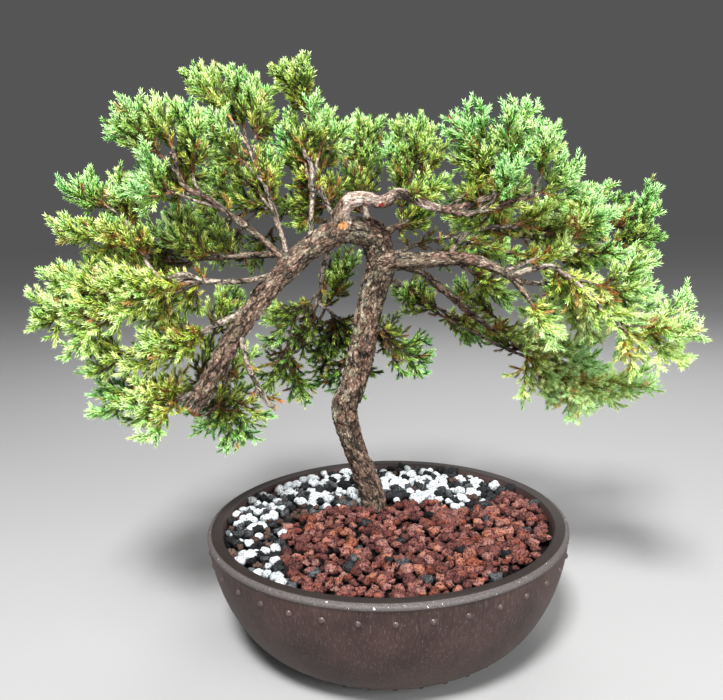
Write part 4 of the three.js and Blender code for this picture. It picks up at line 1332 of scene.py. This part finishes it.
# Kinds of stone: half sizes, how lumpy they are, and their looks
STONES = {
    "red_lava": {"sizes": (2.5, 4.9), "lumps": 0.75, "pits": 0.65, "bump": 2.2, "roughness": 0.9,
        "stops": [(0.0, "#0a0505"), (0.3, "#3a1e1d"), (0.6, "#6c3f3b"), (0.85, "#83514b"), (1.0, "#a5776e")],
        "tint": [(0.0, "#0d0605"), (0.3, "#4a2019"), (0.6, "#83422f"), (1.0, "#b87860")]},
    "white_perlite": {"sizes": (2.4, 5.0), "lumps": 0.3, "pits": 0.6, "bump": 0.6, "roughness": 0.85,
        "stops": [(0.0, "#5b6164"), (0.3, "#a3a9ac"), (0.7, "#c8cccf"), (1.0, "#dadedf")]},
    "black_lava": {"sizes": (2.9, 5.0), "lumps": 0.8, "pits": 0.8, "bump": 1.6, "roughness": 0.8,
        "stops": [(0.0, "#020202"), (0.45, "#0e0f10"), (0.8, "#292b2d"), (1.0, "#5c5e60")]},
    "brown_chips": {"sizes": (2.6, 3.8), "lumps": 0.8, "pits": 0.7, "bump": 0.6, "roughness": 0.8,
        "stops": [(0.0, "#120b09"), (0.5, "#33241f"), (1.0, "#5e4a40")]},
}
SOIL_LOOK = {"stops": [(0.1, "#15110f"), (0.5, "#2e2622"), (0.9, "#54463c")],
             "pits": 0.8, "bump": 0.8, "roughness": 0.9}

# Painted shade: how much darker stones get toward the gaps below them
LOW_SHADE = 0.9

# Layers of stones, the top one last: how far below the soil line, how far apart, squares a side, and shade.
# The lower layer's near-black shade is painted shade in the gaps between the top stones
LAYERS = [{"depth": 3.4, "pitch": 7.2, "level": 2, "shade": (-0.9, -0.2)},
          {"depth": -1.7, "pitch": 7.7, "level": 3, "shade": (0.15, 0.75)}]
STONE_SHAKE = 2.0
STONE_SHAPES = 7
WHITE_LIMIT = 0.56
BLACK_LIMIT = 0.94
STRAY_SHARE = 0.06
GRIT_SEED = 17


def stone_kinds(x, y, rng):
    """Which kind of stone lies at each place: red in front, the others in patches behind."""
    red = is_red(x + rng.normal(0, 1.5, len(x)), y + rng.normal(0, 1.5, len(x)))
    patch = np.array([noise.noise(Vector((a * 0.035, b * 0.035, 3.3))) for a, b in zip(x, y)])
    draw = rng.uniform(0, 1, len(x)) - 0.5 * patch
    dark = np.where(draw < BLACK_LIMIT, "black_lava", "brown_chips")
    others = np.where(draw < WHITE_LIMIT, "white_perlite", dark)
    stray = rng.uniform(0, 1, len(x)) < STRAY_SHARE
    return np.where(red & ~stray, "red_lava", np.where(red, "black_lava", others))


def make_grit():
    """Stones of four kinds in two layers."""
    rng = np.random.default_rng(GRIT_SEED)
    heaps = {kind: [] for kind in STONES}
    for layer in LAYERS:
        x, y = bed_places(layer["pitch"], rng)
        kinds = stone_kinds(x, y, rng)
        z = soil_height(x, y) - layer["depth"] + rng.normal(0, 0.9, len(x))
        for kind, look in STONES.items():
            places = np.column_stack([x, y, z])[kinds == kind]
            small, large = look["sizes"]
            sizes = small + (large - small) * rng.uniform(0, 1, len(places)) ** 1.2
            shapes = [lump_shape(layer["level"], look["lumps"], 1 + i) for i in range(STONE_SHAPES)]
            heaps[kind].append(scattered(shapes, places, sizes, layer["shade"], rng))
    for kind, look in STONES.items():
        points, faces, shade = joined(heaps[kind])
        piece = make_piece(kind, points, faces, stone_material(kind, look), True, {"shade": shade})
        if kind == "red_lava":
            settle(piece, "red_stones", "red_stones")
        else:
            settle(piece, "soil")


# Stage

# Lamps: place and width in metres, and power
LIGHTS = {"key": ((-0.2, -1.0, 1.52), 0.34, 62), "fill": ((0.9, -1.2, 0.7), 0.8, 23),
          "back": ((0.4, 0.9, 1.1), 0.8, 9)}
LIGHT_AIM = (0, 0, 0.22)
SKY_STRENGTH = 0.35
FLOOR_SHARE = 0.261
FLOOR_REACH = 9000


def make_sky():
    """An even sky, dimmer behind the tree, where it meets the floor without a line."""
    world = bpy.data.worlds.new("soft_world")
    g = Graph(world)
    height = g.parts(g.add("TexCoord", {}).outputs["Generated"])[2]
    share = {"Value": height, "From Min": 0.28, "From Max": 0.8,
             "To Min": FLOOR_SHARE * SKY_STRENGTH, "To Max": SKY_STRENGTH}
    strength = g.add("MapRange", share, interpolation_type="SMOOTHSTEP").outputs["Result"]
    background = g.tree.nodes["Background"]
    g.set(background, "Strength", strength)
    g.set(background, "Color", "#ffffff")
    bpy.context.scene.world = world


def make_floor():
    """A plain pale floor."""
    corners = np.array([[-1, -1, 0], [1, -1, 0], [1, 1, 0], [-1, 1, 0]]) * FLOOR_REACH
    material = material_graph("pale_floor").finish("#9d9d9d", 0.9, 0.0)
    floor = make_piece("floor", corners, np.array([[0, 1, 2, 3]]), material)


def make_lights():
    """Soft square lamps aimed at the tree."""
    for name, (place, size, power) in LIGHTS.items():
        light = bpy.data.lights.new(name, "AREA")
        light.size = size
        light.energy = power
        lamp = placed(name, light)
        lamp.location = place
        lamp.rotation_euler = (Vector(LIGHT_AIM) - Vector(place)).to_track_quat("-Z", "Y").to_euler()


def make_camera():
    """The camera fitted to the photograph."""
    camera = bpy.data.cameras.new("camera")
    camera.sensor_width = SENSOR
    camera.lens = FOCAL_PIXELS / IMAGE_WIDTH * SENSOR
    camera.clip_start = 0.01
    holder = placed("camera", camera)
    holder.location = CAMERA_PLACE
    turn = (Matrix.Rotation(math.radians(90 - CAMERA_PITCH), 4, "X")
            @ Matrix.Rotation(math.radians(CAMERA_ROLL), 4, "Z"))
    holder.rotation_euler = turn.to_euler()
    bpy.context.scene.camera = holder
    bpy.context.scene.view_settings.view_transform = "Standard"


limbs, sprays = grow()
make_floor()
make_sky()
make_lights()
make_camera()
make_pot()
make_bed_floor()
make_grit()
plumes = inner_plumes(limbs)
make_wood(limbs, sprays + plumes)
make_foliage(limbs, sprays, plumes)
